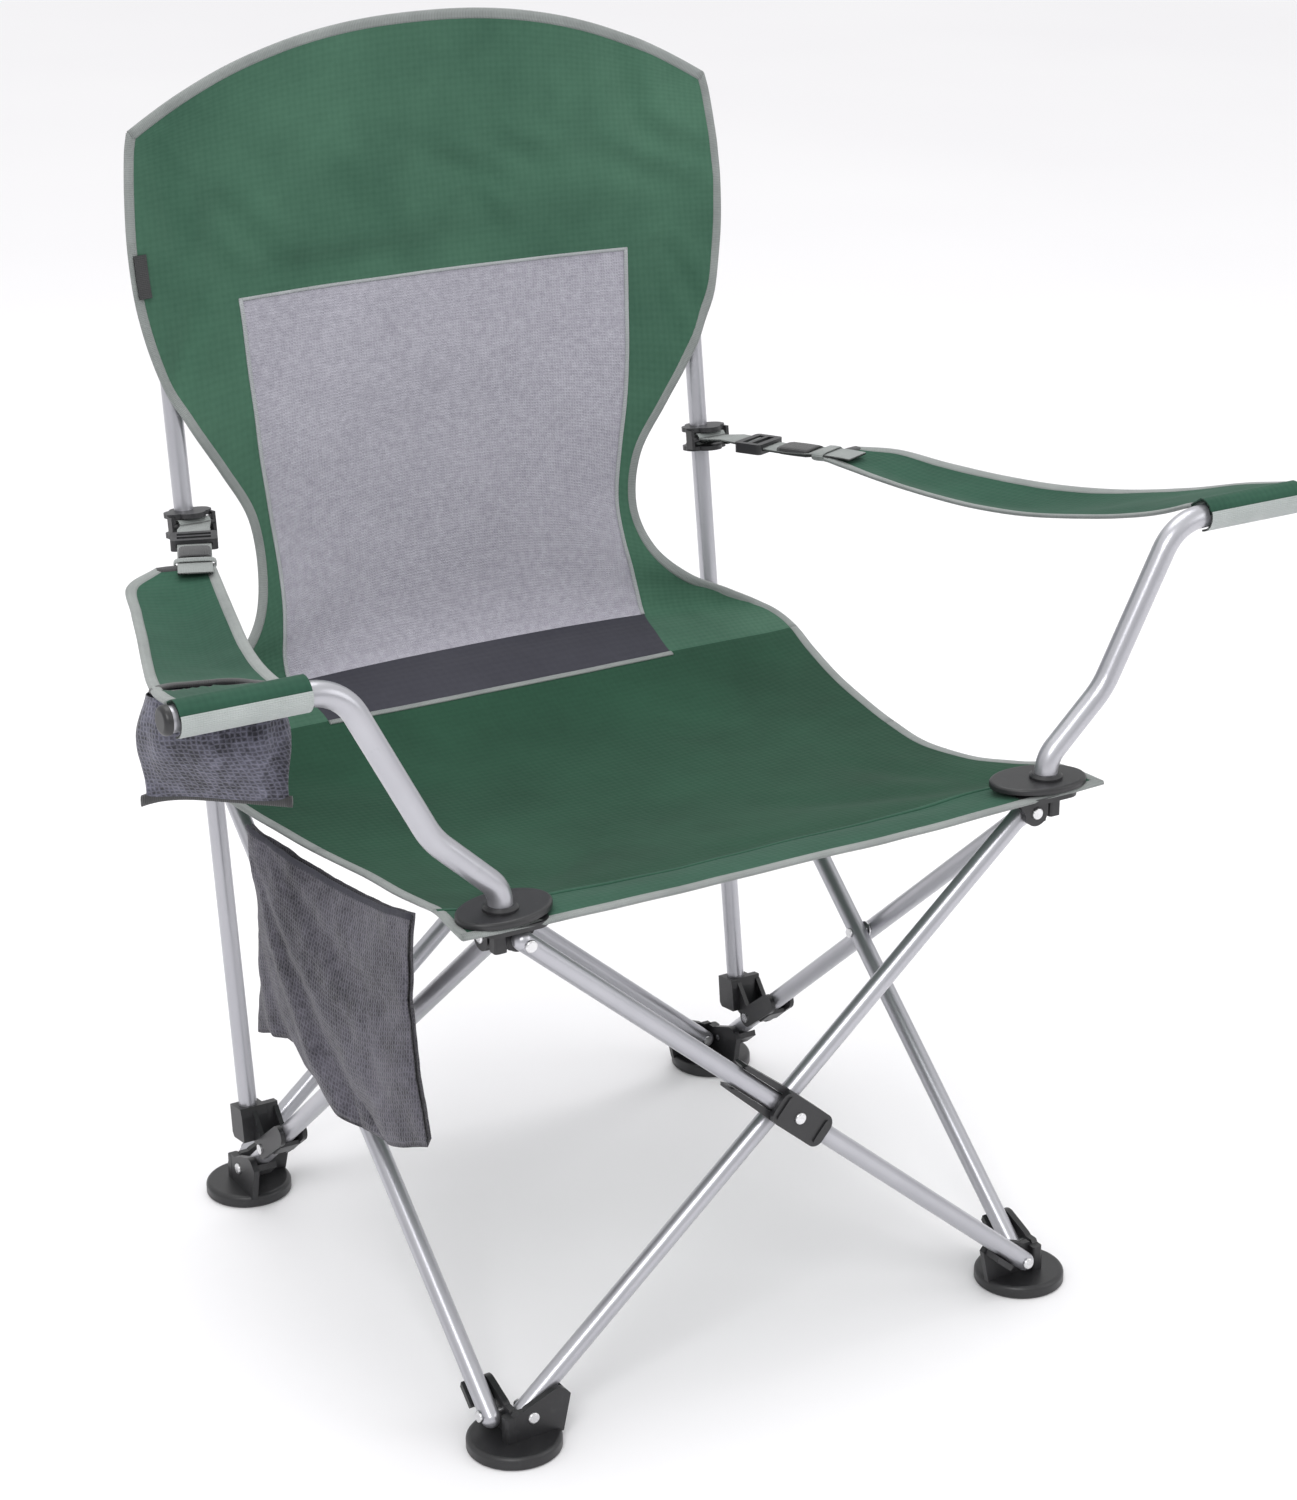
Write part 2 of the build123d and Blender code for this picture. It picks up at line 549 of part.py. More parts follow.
def collar():
    """The collar on the right post: a barrel between two flanges, with the strap's pin in front."""
    lug, half = COLLAR_LUG, STRAP_WIDTH / 2 + 4.5
    flange = stadium((0, 1), (0, 2 - lug), TUBE_R + 4) + stadium((9 - half, -6), (half - 9, -6), 10.5)
    flange += stadium((8 - half, -10), (half - 8, -10), 9.5)
    body = Pos(0, 0, -COLLAR_HALF) * extrude(Circle(TUBE_R + 4), amount=2 * COLLAR_HALF)
    for z in (-COLLAR_HALF, COLLAR_HALF):
        body += Pos(0, 0, z - FLANGE / 2) * extrude(flange, amount=FLANGE)
    for x in (-half, half):
        body += Pos(x, -lug + 2.5, 0) * Box(3, 9, 2 * COLLAR_HALF)
    body += rod((-half, -lug, 0), (half, -lug, 0), STRAP_PIN_R)
    body -= rod((0, 0, -60), (0, 0, 60), TUBE_R)
    return Plane(origin=(POST_X, COLLAR_Y, COLLAR_Z), x_dir=(1, 0, 0), z_dir=POST_DIR) * body


def strap_frame():
    """The strap's plane: local x runs from the collar's pin to the arm rest, z is up."""
    start, end = Vector(POST_X, *STRAP_PIN), Vector(*STRAP_END)
    run = end - start
    return Plane(origin=start, x_dir=run, z_dir=Vector(0, -run.Z, run.Y) * -1), run.length


def strap():
    plane, length = strap_frame()
    half = STRAP_WIDTH / 2
    eye = rod((POST_X - half, *STRAP_PIN), (POST_X + half, *STRAP_PIN), STRAP_PIN_R + CLEAR + STRAP)
    start = STRAP_WIDTH / 2 * STRAP_SLANT
    middle = (start + length) / 2
    body = plane * Pos(middle, 0, 0) * Box(length - start, STRAP_WIDTH, STRAP) + eye
    return body - rod((POST_X - 60, *STRAP_PIN), (POST_X + 60, *STRAP_PIN), STRAP_PIN_R + CLEAR)


def buckle():
    """Ladder buckle: a frame that the strap runs through, with two teeth across."""
    plane, length = strap_frame()
    at = length * BUCKLE_AT
    inside = STRAP_WIDTH + 2
    frame = extrude(RectangleRounded(28, inside + 9, 4), amount=4.6, both=True)
    frame -= Box(60, inside, STRAP + 2 * CLEAR)
    frame -= Pos(5, 0, 5) * Box(6, inside - 2, 8)
    frame -= Pos(-5, 0, 5) * Box(6, inside - 2, 8)
    return plane * Pos(at, 0, 0) * frame


# ---- fabric ----
def hung_sheet(points, thickness, x_half, tangents=None):
    """A sheet with the same side view all across: points are (y, z), thickness is along `thickness`."""
    dy, dz = thickness
    line = Spline(*points) if tangents is None else Spline(*points, tangents=tangents)
    back_line = Pos(dy, dz) * line
    ends = [Line(line @ 0, back_line @ 0), Line(line @ 1, back_line @ 1)]
    return sideways(make_face([line, back_line, *ends]), -x_half, x_half)


def both_sides(points):
    """A closed outline from its right half, drawn downwards, and the same on the left."""
    return [*points, *[(-x, y) for x, y in reversed(points)]]


def seat_outline():
    right = [(P + out, P * share) for out, share in SEAT_EDGE]
    edge = Spline(*right)
    other = Spline(*[(-x, y) for x, y in right])
    return make_face([edge, other, Line(edge @ 0, other @ 0), Line(edge @ 1, other @ 1)])


def seat_strip(y0, y1, points, tangents=None):
    sheet = hung_sheet(points, (0, FABRIC), 2 * P, tangents)
    mask = extrude(seat_outline(), amount=2 * CLOTH_Z)
    return sheet & mask & (Pos(0, (y0 + y1) / 2, CLOTH_Z) * Box(4 * P, y1 - y0, 2 * CLOTH_Z))


def seat_hem():
    """The front band of the seat, clamped on both hubs."""
    ends = [(SEAT_FRONT_Y - 1, CLOTH_Z), (-SEAT_HINGE_Y + 1, CLOTH_Z)]
    body = seat_strip(SEAT_FRONT_Y, -SEAT_HINGE_Y, ends)
    for side in (-1, 1):
        x, y = side * ARM_BASE[0], ARM_BASE[1]
        body -= rod((x, y, 0), (x, y, 2 * CLOTH_Z), ARM_R + CLEAR)
        for x, y in screw_places(side):
            body -= rod((x, y, 0), (x, y, 2 * CLOTH_Z), SCREW_R + CLEAR)
    return body


def seat_half(front):
    side = -1 if front else 1
    points = [(side * SEAT_HINGE_Y, CLOTH_Z)]
    drops = SEAT_DROPS[0] if front else SEAT_DROPS[1]
    points += [(side * SEAT_HINGE_Y * reach, CLOTH_Z - SEAT_SAG * drop) for reach, drop in drops]
    points += [(0, CLOTH_Z - SEAT_SAG)]
    ends = [(-side * cos(SEAT_SLOPE), -sin(SEAT_SLOPE)), (-side, 0)]
    return seat_strip(min(0, side * SEAT_HINGE_Y), max(0, side * SEAT_HINGE_Y), points, ends)


def back_line():
    """Side view of the back fabric, (y, z), from its lower edge to the posts' tops."""
    lift = [(SEAT_HINGE_Y + 1.4, CLOTH_Z + 5.0)]
    lift += [(post_y(CLOTH_Z + up) + behind, CLOTH_Z + up) for up, behind in BACK_SAG]
    return lift + [(post_y(CLOTH_Z + up) - SLEEVE_R, CLOTH_Z + up) for up in (*BACK_HELD, BACK_PEAK)]


def back_outline():
    right = [(0, BACK_PEAK_Z), (BACK_HALF - 151, BACK_PEAK_Z - 14), (BACK_HALF - 40, BACK_CORNER_Z + 13),
             (BACK_HALF - 3, BACK_CORNER_Z - 8)]
    top = Spline(*[(-x, z) for x, z in reversed(right)], *right[1:])
    edge = [(BACK_HALF - 3, BACK_CORNER_Z - 8)]
    edge += [(BACK_HALF - inside, CLOTH_Z + up) for inside, up in BACK_EDGE]
    sides = [Spline(*[(s * x, z) for x, z in edge]) for s in (1, -1)]
    return make_face([top, *sides, Line(sides[0] @ 1, sides[1] @ 1)])


def mesh_outline():
    top, low = MESH_HALF
    rows = ((top, MESH_TOP), (low, MESH_WAIST), (low, MESH_LOW))
    return flat(both_sides([(half, CLOTH_Z + up) for half, up in rows]))


def strip_outline():
    top, low = STRIP_HALF
    return flat(both_sides([(top, CLOTH_Z + MESH_LOW), (low, CLOTH_Z + STRIP_LOW)]))


def back_sheet():
    return hung_sheet(back_line(), (-FABRIC * 0.75, FABRIC * 0.75), BACK_HALF + 40)


def back_panel():
    """The green back, open where the mesh and the grey strip are sewn in."""
    body = back_sheet() & upright(back_outline(), -600, 600)
    body -= upright(mesh_outline(), -600, 600)
    body -= upright(strip_outline(), -600, 600)
    for side in (-1, 1):       # the sleeves that slip over the posts
        low, high = [Vector(side * POST_X, post_y(CLOTH_Z + up), CLOTH_Z + up) for up in SLEEVE]
        body += rod(low, high, SLEEVE_R + FABRIC)
        body -= rod(low - Vector(*POST_DIR) * 9, high + Vector(*POST_DIR) * 9, SLEEVE_R)
    return body


def arm_line():
    """Side view of an arm rest, (y, z), from the bar to its rear edge."""
    bar_y, bar_z = ARM_BASE[1], ARM_BAR_Z + 1
    end = (STRAP_END[1] + 13, STRAP_END[2] - STRAP / 2 - FABRIC - REST_UNDER)      # its rear edge
    return Spline((bar_y + 9, bar_z + ARM_R), (bar_y + 101, bar_z - 14), (bar_y + 251, bar_z - 22), end)


def arm_rest():
    """The right arm rest: a sagging strip of fabric with a sleeve round the arm tube's bar."""
    bar_y, bar_z = ARM_BASE[1], ARM_BAR_Z + 1
    sleeve_r = ARM_R + 1.0 + CLEAR + FABRIC
    end_x, end_y, tip = STRAP_END[0], STRAP_END[1], ARM_TIP_X
    outline = flat([
        (end_x - 16, end_y + 10), (end_x + 54, end_y - 22), (tip - 64, bar_y + 191), (tip, bar_y),
        (tip - 98, bar_y), (tip - 148, bar_y + 215),
    ])
    line = arm_line()
    top = Pos(0, FABRIC) * line
    side_view = make_face([line, top, Line(line @ 0, top @ 0), Line(line @ 1, top @ 1)])
    sheet = sideways(side_view, -tip - 20, tip + 20)
    body = sheet & extrude(outline, amount=2 * bar_z)
    sleeve = sideways(Pos(bar_y, bar_z) * Circle(sleeve_r), tip - 98, tip - 4)
    body += sleeve
    path_r = ARM_R + 1.0 + CLEAR
    return body - sideways(Pos(bar_y, bar_z) * Circle(path_r), tip - 200, tip + 100)


def arm_rest_left():
    x, y = -CUP_AT[0], CUP_AT[1]
    body = mirrored(arm_rest())
    return body - rod((x, y, 0), (x, y, 2 * CUP_TOP_Z), CUP_HOLE_R)


def cup_net():
    """The net cup under the left arm rest: a rim ring, thin walls and a floor."""
    x, y = -CUP_AT[0], CUP_AT[1]
    low, wall = CUP_R - 8, 1.6
    inside = Solid.make_cone(low - wall, CUP_R - wall, CUP_DEPTH)
    cup = Solid.make_cone(low, CUP_R, CUP_DEPTH) - Pos(0, 0, wall) * inside
    line = arm_line()
    above = 2 * CUP_TOP_Z
    over = make_face([line, Polyline(line @ 1, (P, above), (-2 * P, above), line @ 0)])
    return Pos(x, y, CUP_TOP_Z - CUP_DEPTH) * cup - sideways(Pos(0, -CLEAR) * over, -2 * ARM_TIP_X, 0)


def side_pocket():
    """The hanging pocket beside the seat: two walls and a floor that slopes to the rear."""
    y0, y1 = POCKET_Y
    top, low, w = POCKET_TOP_Z, POCKET_LOW_Z, POCKET_WALL
    outline = flat([(y0, top[0]), (y1, top[1]), (y1, low[1]), (y0, low[0])])
    inside = flat([(y0 + w, top[0] + w), (y1 - w, top[1] + w), (y1 - w, low[1] + w), (y0 + w, low[0] + w)])
    x0 = POCKET_X - POCKET_GAP - 2 * w
    return sideways(outline, x0, POCKET_X) - sideways(inside, x0 + w, POCKET_X - w)


# ---- the whole chair ----
CORNERS = ("front_right", "rear_right", "rear_left", "front_left")   # quarter turns from the first
FACES = ("front", "right", "rear", "left")
FRONT_TURN = {1: 0, -1: 3}     # quarter turns that bring the front right corner to a front hub
REAR_TURN = {1: 1, -1: 2}      # and to a rear slider
OUTER_X = FACE + LAYER        # outer side tube, right
INNER_X = FACE - LAYER        # inner side tube, left
POSTS = {"left": (-1, -INNER_X), "right": (1, OUTER_X)}


def chair():
    nodes = {}
    for turn, name in enumerate(CORNERS):
        nodes[f"foot_{name}"] = turned(foot(), turn)
        rivets = [corner_rivet(1, False), turned(corner_rivet(-1, False), 1)]
        nodes[f"foot_rivets_{name}"] = Compound(children=[turned(r, turn) for r in rivets])
    for turn, name in enumerate(FACES):
        nodes[f"leg_tube_{name}_outer"] = turned(leg_tube(True), turn)
        nodes[f"leg_tube_{name}_inner"] = turned(leg_tube(False), turn)
        nodes[f"cross_pin_{name}"] = turned(cross_pin(name == "front"), turn)
    nodes["leg_tube_left_inner"] -= shoe_hole(-INNER_X)
    nodes["leg_tube_right_outer"] -= shoe_hole(OUTER_X)
    nodes["cross_bracket"] = cross_bracket()
    for side, (sign, tube_x) in POSTS.items():
        place = mirrored if sign < 0 else (lambda shape: shape)
        nodes[f"front_hub_{side}"] = front_hub(sign)
        nodes[f"hub_fasteners_{side}"] = hub_fasteners(sign)
        nodes[f"seat_plate_{side}"] = place(mirrored(seat_plate()))
        nodes[f"arm_tube_{side}"] = place(arm_tube())
        nodes[f"arm_cap_{side}"] = place(arm_cap())
        nodes[f"back_post_{side}"] = back_post(sign, tube_x)
        nodes[f"post_cap_{side}"] = post_cap(sign, tube_x)
        nodes[f"post_shoe_{side}"] = post_shoe(sign, tube_x)
        nodes[f"shoe_rivet_{side}"] = shoe_rivet(sign, tube_x)
        nodes[f"arm_collar_{side}"] = place(collar())
        nodes[f"arm_strap_{side}"] = place(strap())
        nodes[f"strap_buckle_{side}"] = place(buckle())
        nodes[f"post_slider_{side}"] = slider(sign)
        rivets = [corner_rivet(1, True), turned(corner_rivet(-1, True), 1)]
        nodes[f"slider_rivets_{side}"] = Compound(children=[turned(r, REAR_TURN[sign]) for r in rivets])
    nodes["seat_hem"] = seat_hem()
    nodes["seat_front"] = seat_half(True)
    nodes["seat_rear"] = seat_half(False)
    nodes["back_panel"] = back_panel()
    nodes["back_mesh"] = back_sheet() & upright(mesh_outline(), -600, 600)
    nodes["lumbar_strip"] = back_sheet() & upright(strip_outline(), -600, 600)
    nodes["arm_rest_right"] = arm_rest()
    nodes["arm_rest_left"] = arm_rest_left()
    nodes["cup_net"] = cup_net()
    nodes["side_pocket"] = side_pocket()
    return nodes


def main():
    nodes = chair()
    boxes = [shape.bounding_box() for shape in nodes.values()]
    shift_x = -(min(b.min.X for b in boxes) + max(b.max.X for b in boxes)) / 2
    shift_y = -(min(b.min.Y for b in boxes) + max(b.max.Y for b in boxes)) / 2
    os.makedirs("parts", exist_ok=True)
    for name, shape in nodes.items():
        export_step(Pos(shift_x, shift_y, 0) * shape, f"parts/{name}.step")
    print(f"origin moved by {shift_x:.3f}, {shift_y:.3f}; lean {degrees(LEAN):.3f}")


main()
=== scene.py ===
import math

import bmesh
import bpy
import numpy as np
from mathutils import Matrix, Vector


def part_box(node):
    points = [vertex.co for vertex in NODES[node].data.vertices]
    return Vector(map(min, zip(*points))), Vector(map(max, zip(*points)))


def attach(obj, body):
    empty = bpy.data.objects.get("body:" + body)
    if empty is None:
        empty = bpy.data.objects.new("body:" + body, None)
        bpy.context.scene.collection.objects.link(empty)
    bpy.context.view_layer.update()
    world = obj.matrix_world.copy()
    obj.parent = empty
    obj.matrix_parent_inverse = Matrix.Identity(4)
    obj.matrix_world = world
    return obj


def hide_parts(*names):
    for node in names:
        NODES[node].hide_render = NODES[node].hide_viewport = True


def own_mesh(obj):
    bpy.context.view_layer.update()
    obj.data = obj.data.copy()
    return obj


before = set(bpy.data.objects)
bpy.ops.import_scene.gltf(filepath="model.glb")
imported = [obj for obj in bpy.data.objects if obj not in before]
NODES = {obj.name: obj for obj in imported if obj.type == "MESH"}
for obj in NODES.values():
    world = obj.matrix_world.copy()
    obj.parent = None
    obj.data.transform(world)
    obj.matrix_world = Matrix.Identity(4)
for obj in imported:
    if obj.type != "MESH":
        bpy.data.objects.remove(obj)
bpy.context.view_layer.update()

MM = 0.001


# ---------------------------------------------------------------- the frame's own measures
def centre_of(node):
    """The middle of a part's box, in metres."""
    low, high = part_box(node)
    return (low + high) / 2


LEG_PLANE = 262.5                                        # outer front tube, in front of the chair's middle
SHIFT_Y = centre_of("leg_tube_front_outer").y / MM + LEG_PLANE
POST_X = centre_of("back_post_left").x / MM * -1


def place(points):
    """Points in millimetres from the middle of the feet, as metres in the shared frame."""
    return (np.asarray(points, float) + np.array([0, SHIFT_Y, 0])) * MM


def post_line():
    """How far back a post leans for each millimetre up, and where it starts."""
    low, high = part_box("back_post_right")
    radius = (high.x - low.x) / 2 / MM
    y0, y1 = low.y / MM - SHIFT_Y + radius, high.y / MM - SHIFT_Y - radius
    z0, z1 = low.z / MM + 1, high.z / MM - 1
    return (y1 - y0) / (z1 - z0), y0, z0


POST_SLOPE, POST_Y0, POST_Z0 = post_line()


def post_y(z):
    """Where the posts' middle is at a height."""
    return POST_Y0 + (np.asarray(z, float) - POST_Z0) * POST_SLOPE


# ---------------------------------------------------------------- shader maths
class Maths:
    """Wraps a socket, so that maths on values can be written as an expression."""

    def __init__(self, finish, socket):
        self.finish, self.socket = finish, socket

    def _op(self, operation, *values):
        return self.finish.node("ShaderNodeMath", {"operation": operation}, *values)

    def __add__(self, other):
        return self._op("ADD", self, other)

    def __sub__(self, other):
        return self._op("SUBTRACT", self, other)

    def __mul__(self, other):
        return self._op("MULTIPLY", self, other)

    def __rsub__(self, other):
        return self._op("SUBTRACT", other, self)

    __radd__, __rmul__ = __add__, __mul__

    def clamp(self):
        return self.finish.node("ShaderNodeClamp", {}, self)


class Finish:
    """A node material under construction."""

    def __init__(self, name, **settings):
        self.material = bpy.data.materials.new(name)
        self.material.use_nodes = True
        self.tree = self.material.node_tree
        self.shader = self.tree.nodes["Principled BSDF"]
        for socket, value in settings.items():
            self.shader.inputs[socket.replace("_", " ")].default_value = value

    def node(self, kind, settings, *values, output=0, **named):
        made = self.tree.nodes.new(kind)
        for key, value in settings.items():
            setattr(made, key, value)
        for index, value in list(enumerate(values)) + [(k.replace("_", " "), v) for k, v in named.items()]:
            self.feed(made.inputs[index], value)
        return Maths(self, made.outputs[output])

    def feed(self, socket, value):
        if isinstance(value, Maths):
            self.tree.links.new(value.socket, socket)
        else:
            socket.default_value = value

    def where(self, kind="Object"):
        return self.node("ShaderNodeTexCoord", {}, output=kind)

    def noise(self, where, scale, detail, rough):
        return self.node("ShaderNodeTexNoise", {}, Vector=where, Scale=scale, Detail=detail, Roughness=rough)

    def bands(self, where, direction, scale, distortion):
        """Parallel waves across X or Y, from nothing to one."""
        return self.node("ShaderNodeTexWave", {"bands_direction": direction}, Vector=where, Scale=scale,
                         Distortion=distortion, output=1)

    def stretched(self, where, scale):
        return self.node("ShaderNodeMapping", {}, Vector=where, Scale=scale)

    def mix(self, share, a, b):
        """A colour between a and b."""
        made = self.tree.nodes.new("ShaderNodeMix")
        made.data_type = "RGBA"
        for index, value in ((0, share), (6, a), (7, b)):
            self.feed(made.inputs[index], value)
        return Maths(self, made.outputs[2])

    def bump(self, height, distance, strength, under=None):
        made = self.node("ShaderNodeBump", {}, Strength=strength, Distance=distance, Height=height)
        if under is not None:
            self.feed(made.socket.node.inputs["Normal"], under)
        return made

    def done(self, colour, roughness=None, normal=None):
        for socket, value in (("Base Color", colour), ("Roughness", roughness), ("Normal", normal)):
            if value is not None:
                self.feed(self.shader.inputs[socket], value)
        return self.material


def rgb(r, g, b):
    return (r, g, b, 1.0)


def woven(name, dark, light, sheen, thread=0.9):
    """Plain-woven polyester: threads across and along, soft cloudy colour, a little sheen."""
    made = Finish(name, Roughness=0.82, Sheen_Weight=sheen, Sheen_Roughness=0.5, Specular_IOR_Level=0.25)
    cloth = made.where("UV")
    space = made.where()
    pitch = 49.976 / thread                              # wave scale for threads this many millimetres apart
    weave = made.bands(cloth, "X", pitch, 0.4) * 0.5 + made.bands(cloth, "Y", pitch, 0.4) * 0.5
    cloud = made.noise(space, 7.0, 5.0, 0.6)
    fine = made.noise(space, 260.0, 2.0, 0.5)
    shade = (cloud * 1.5 - 0.25 + (fine - 0.5) * 0.25 + (weave - 0.5) * 0.16).clamp()
    colour = made.mix(shade, rgb(*dark), rgb(*light))
    creases = made.bump(made.noise(space, 22.0, 4.0, 0.6), 0.0016, 0.55)
    threads = made.bump(weave + fine * 0.5, 0.00025, 0.8, creases)
    return made.done(colour, roughness=0.76 + cloud * 0.12, normal=threads)


def netting(name, dark, light, cell, contrast, cloud_scale):
    """Knitted net: small cells with darker holes, mottled where layers show through one another."""
    made = Finish(name, Roughness=0.8, Sheen_Weight=0.2, Specular_IOR_Level=0.25)
    cloth, space = made.where("UV"), made.where()
    cells = made.node("ShaderNodeTexVoronoi", {"feature": "DISTANCE_TO_EDGE"}, Vector=cloth,
                      Scale=1000.0 / cell, Randomness=0.35)
    hole = (cells * 3.2).clamp()
    cloud = made.noise(space, cloud_scale, 6.0, 0.7)
    speck = made.noise(space, 170.0, 3.0, 0.65)
    shade = ((cloud - 0.5) * 1.6 * contrast + (speck - 0.5) * 1.1 + 0.62 - hole * 0.42 * contrast).clamp()
    colour = made.mix(shade, rgb(*dark), rgb(*light))
    return made.done(colour, normal=made.bump(1.0 - hole, 0.0006, 0.7))


def webbing(name, dark, light):
    """Ribbed polypropylene tape: fine ribs across its width."""
    made = Finish(name, Roughness=0.6, Sheen_Weight=0.2)
    cloth, space = made.where("UV"), made.where()
    ribs = made.bands(cloth, "Y", 210.0, 0.6)
    edge = made.bands(cloth, "X", 160.0, 0.3)
    cloud = made.noise(space, 30.0, 4.0, 0.6)
    shade = (cloud * 1.2 - 0.1 + (ribs - 0.5) * 0.3 + (edge - 0.5) * 0.1).clamp()
    colour = made.mix(shade, rgb(*dark), rgb(*light))
    return made.done(colour, normal=made.bump(ribs + edge * 0.3, 0.0003, 0.8))


def coated_tube():
    """Satin grey coating on steel, a touch darker in the scuffed patches."""
    made = Finish("satin_grey_tube", Metallic=0.72, Roughness=0.3, Coat_Weight=0.25, Coat_Roughness=0.2)
    space = made.where()
    cloud = made.noise(space, 9.0, 4.0, 0.6)
    drawn = made.noise(made.stretched(space, (60.0, 60.0, 60.0)), 6.0, 2.0, 0.5)
    scuff = (made.noise(space, 55.0, 5.0, 0.7) * 5.0 - 3.2).clamp()
    colour = made.mix(cloud, rgb(0.36, 0.36, 0.39), rgb(0.50, 0.50, 0.53))
    colour = made.mix(scuff * 0.35, colour, rgb(0.24, 0.24, 0.25))
    roughness = 0.26 + cloud * 0.1 + scuff * 0.15
    return made.done(colour, roughness=roughness, normal=made.bump(drawn, 0.00006, 0.5))


def moulded_plastic():
    """Black moulded nylon with a fine grain and paler rubbed patches."""
    made = Finish("moulded_black_plastic", Roughness=0.38, Specular_IOR_Level=0.5)
    space = made.where()
    grain = made.noise(space, 900.0, 2.0, 0.5)
    cloud = made.noise(space, 45.0, 4.0, 0.6)
    rubbed = (made.noise(space, 120.0, 4.0, 0.7) * 4.0 - 2.3).clamp()
    colour = made.mix(cloud, rgb(0.010, 0.010, 0.011), rgb(0.024, 0.024, 0.026))
    colour = made.mix(rubbed * 0.25, colour, rgb(0.07, 0.07, 0.075))
    return made.done(colour, roughness=0.32 + cloud * 0.16, normal=made.bump(grain, 0.00012, 0.6))


def plated_rivet():
    """Bright plated steel, a little uneven."""
    made = Finish("plated_rivet", Metallic=0.95, Roughness=0.24)
    space = made.where()
    cloud = made.noise(space, 160.0, 4.0, 0.6)
    colour = made.mix(cloud, rgb(0.55, 0.55, 0.56), rgb(0.80, 0.80, 0.81))
    return made.done(colour, roughness=0.18 + cloud * 0.2, normal=made.bump(cloud, 0.0001, 0.4))


BACK_GREEN = woven("back_green_cloth", (0.022, 0.072, 0.045), (0.062, 0.150, 0.098), sheen=0.1)
# The seat, hem and arm cloths are copies of the back's green cloth made darker. This is painted shade on the
# seat, its front hem and the arm rests, and it is deepest on the seat.
SHADED_SEAT_GREEN = woven("seat_green_painted_shade", (0.007, 0.036, 0.019), (0.020, 0.073, 0.042), sheen=0.02)
SHADED_HEM_GREEN = woven("hem_green_painted_shade", (0.012, 0.052, 0.031), (0.032, 0.100, 0.064), sheen=0.04)
SHADED_ARM_GREEN = woven("arm_green_painted_shade", (0.010, 0.046, 0.028), (0.030, 0.096, 0.061), sheen=0.03)
LILAC_MESH = netting("lilac_mesh", (0.235, 0.225, 0.270), (0.440, 0.430, 0.485), cell=2.6,
                     contrast=0.35, cloud_scale=9.0)
GREY_STRIP = woven("dark_grey_strip", (0.025, 0.025, 0.034), (0.052, 0.052, 0.066), sheen=0.05, thread=1.2)
POCKET_NET = netting("charcoal_net", (0.015, 0.014, 0.020), (0.128, 0.122, 0.152), cell=3.4,
                     contrast=0.9, cloud_scale=16.0)
CUP_NET = netting("mottled_cup_net", (0.016, 0.016, 0.023), (0.170, 0.170, 0.225), cell=4.0,
                  contrast=1.1, cloud_scale=30.0)
TAPE = webbing("grey_binding_tape", (0.150, 0.165, 0.160), (0.270, 0.290, 0.282))
PALE_TAPE = webbing("pale_seam_tape", (0.28, 0.31, 0.30), (0.40, 0.43, 0.42))
MESH_RIM = webbing("mesh_rim_tape", (0.26, 0.27, 0.28), (0.38, 0.40, 0.41))
BLACK_TAPE = webbing("black_tape", (0.012, 0.012, 0.013), (0.035, 0.035, 0.037))
TUBE, PLASTIC, RIVET = coated_tube(), moulded_plastic(), plated_rivet()


# ---------------------------------------------------------------- cloth meshes
def eased(rows, t):
    """A smooth line through rows, read at t: whole numbers are the rows themselves."""
    rows = np.asarray(rows, float)
    t = np.clip(np.asarray(t, float), 0, len(rows) - 1)
    k = np.minimum(t.astype(int), len(rows) - 2)
    f = (t - k)[..., None]
    p1, p2 = rows[k], rows[k + 1]
    p0 = np.where((k > 0)[..., None], rows[np.maximum(k - 1, 0)], 2 * p1 - p2)
    p3 = np.where((k < len(rows) - 2)[..., None], rows[np.minimum(k + 2, len(rows) - 1)], 2 * p2 - p1)
    a, b, c = 2 * p0 - 5 * p1 + 4 * p2 - p3, -p0 + p2, -p0 + 3 * p1 - 3 * p2 + p3
    return 0.5 * (2 * p1 + b * f + a * f**2 + c * f**3)


def grid_normals(points):
    """Directions square to a grid of points."""
    down, across = np.gradient(points, axis=0), np.gradient(points, axis=1)
    normal = np.cross(across, down)
    return normal / np.maximum(np.linalg.norm(normal, axis=2, keepdims=True), 1e-12)


def new_piece(name, verts, faces, finish, uvs=None, normals=None):
    """A mesh object in metres, in one finish."""
    mesh = bpy.data.meshes.new(name)
    mesh.from_pydata([tuple(v) for v in verts], [], faces)
    mesh.polygons.foreach_set("use_smooth", [True] * len(mesh.polygons))
    if uvs is not None:
        layer = mesh.uv_layers.new(name="cloth")
        corner = np.zeros(len(mesh.loops), int)
        mesh.loops.foreach_get("vertex_index", corner)
        layer.data.foreach_set("uv", np.asarray(uvs, float)[corner].ravel())
    mesh.materials.append(finish)
    mesh.validate()
    if normals is not None:
        mesh.normals_split_custom_set_from_vertices([tuple(n) for n in normals])
    made = bpy.data.objects.new(name, mesh)
    bpy.context.scene.collection.objects.link(made)
    return made


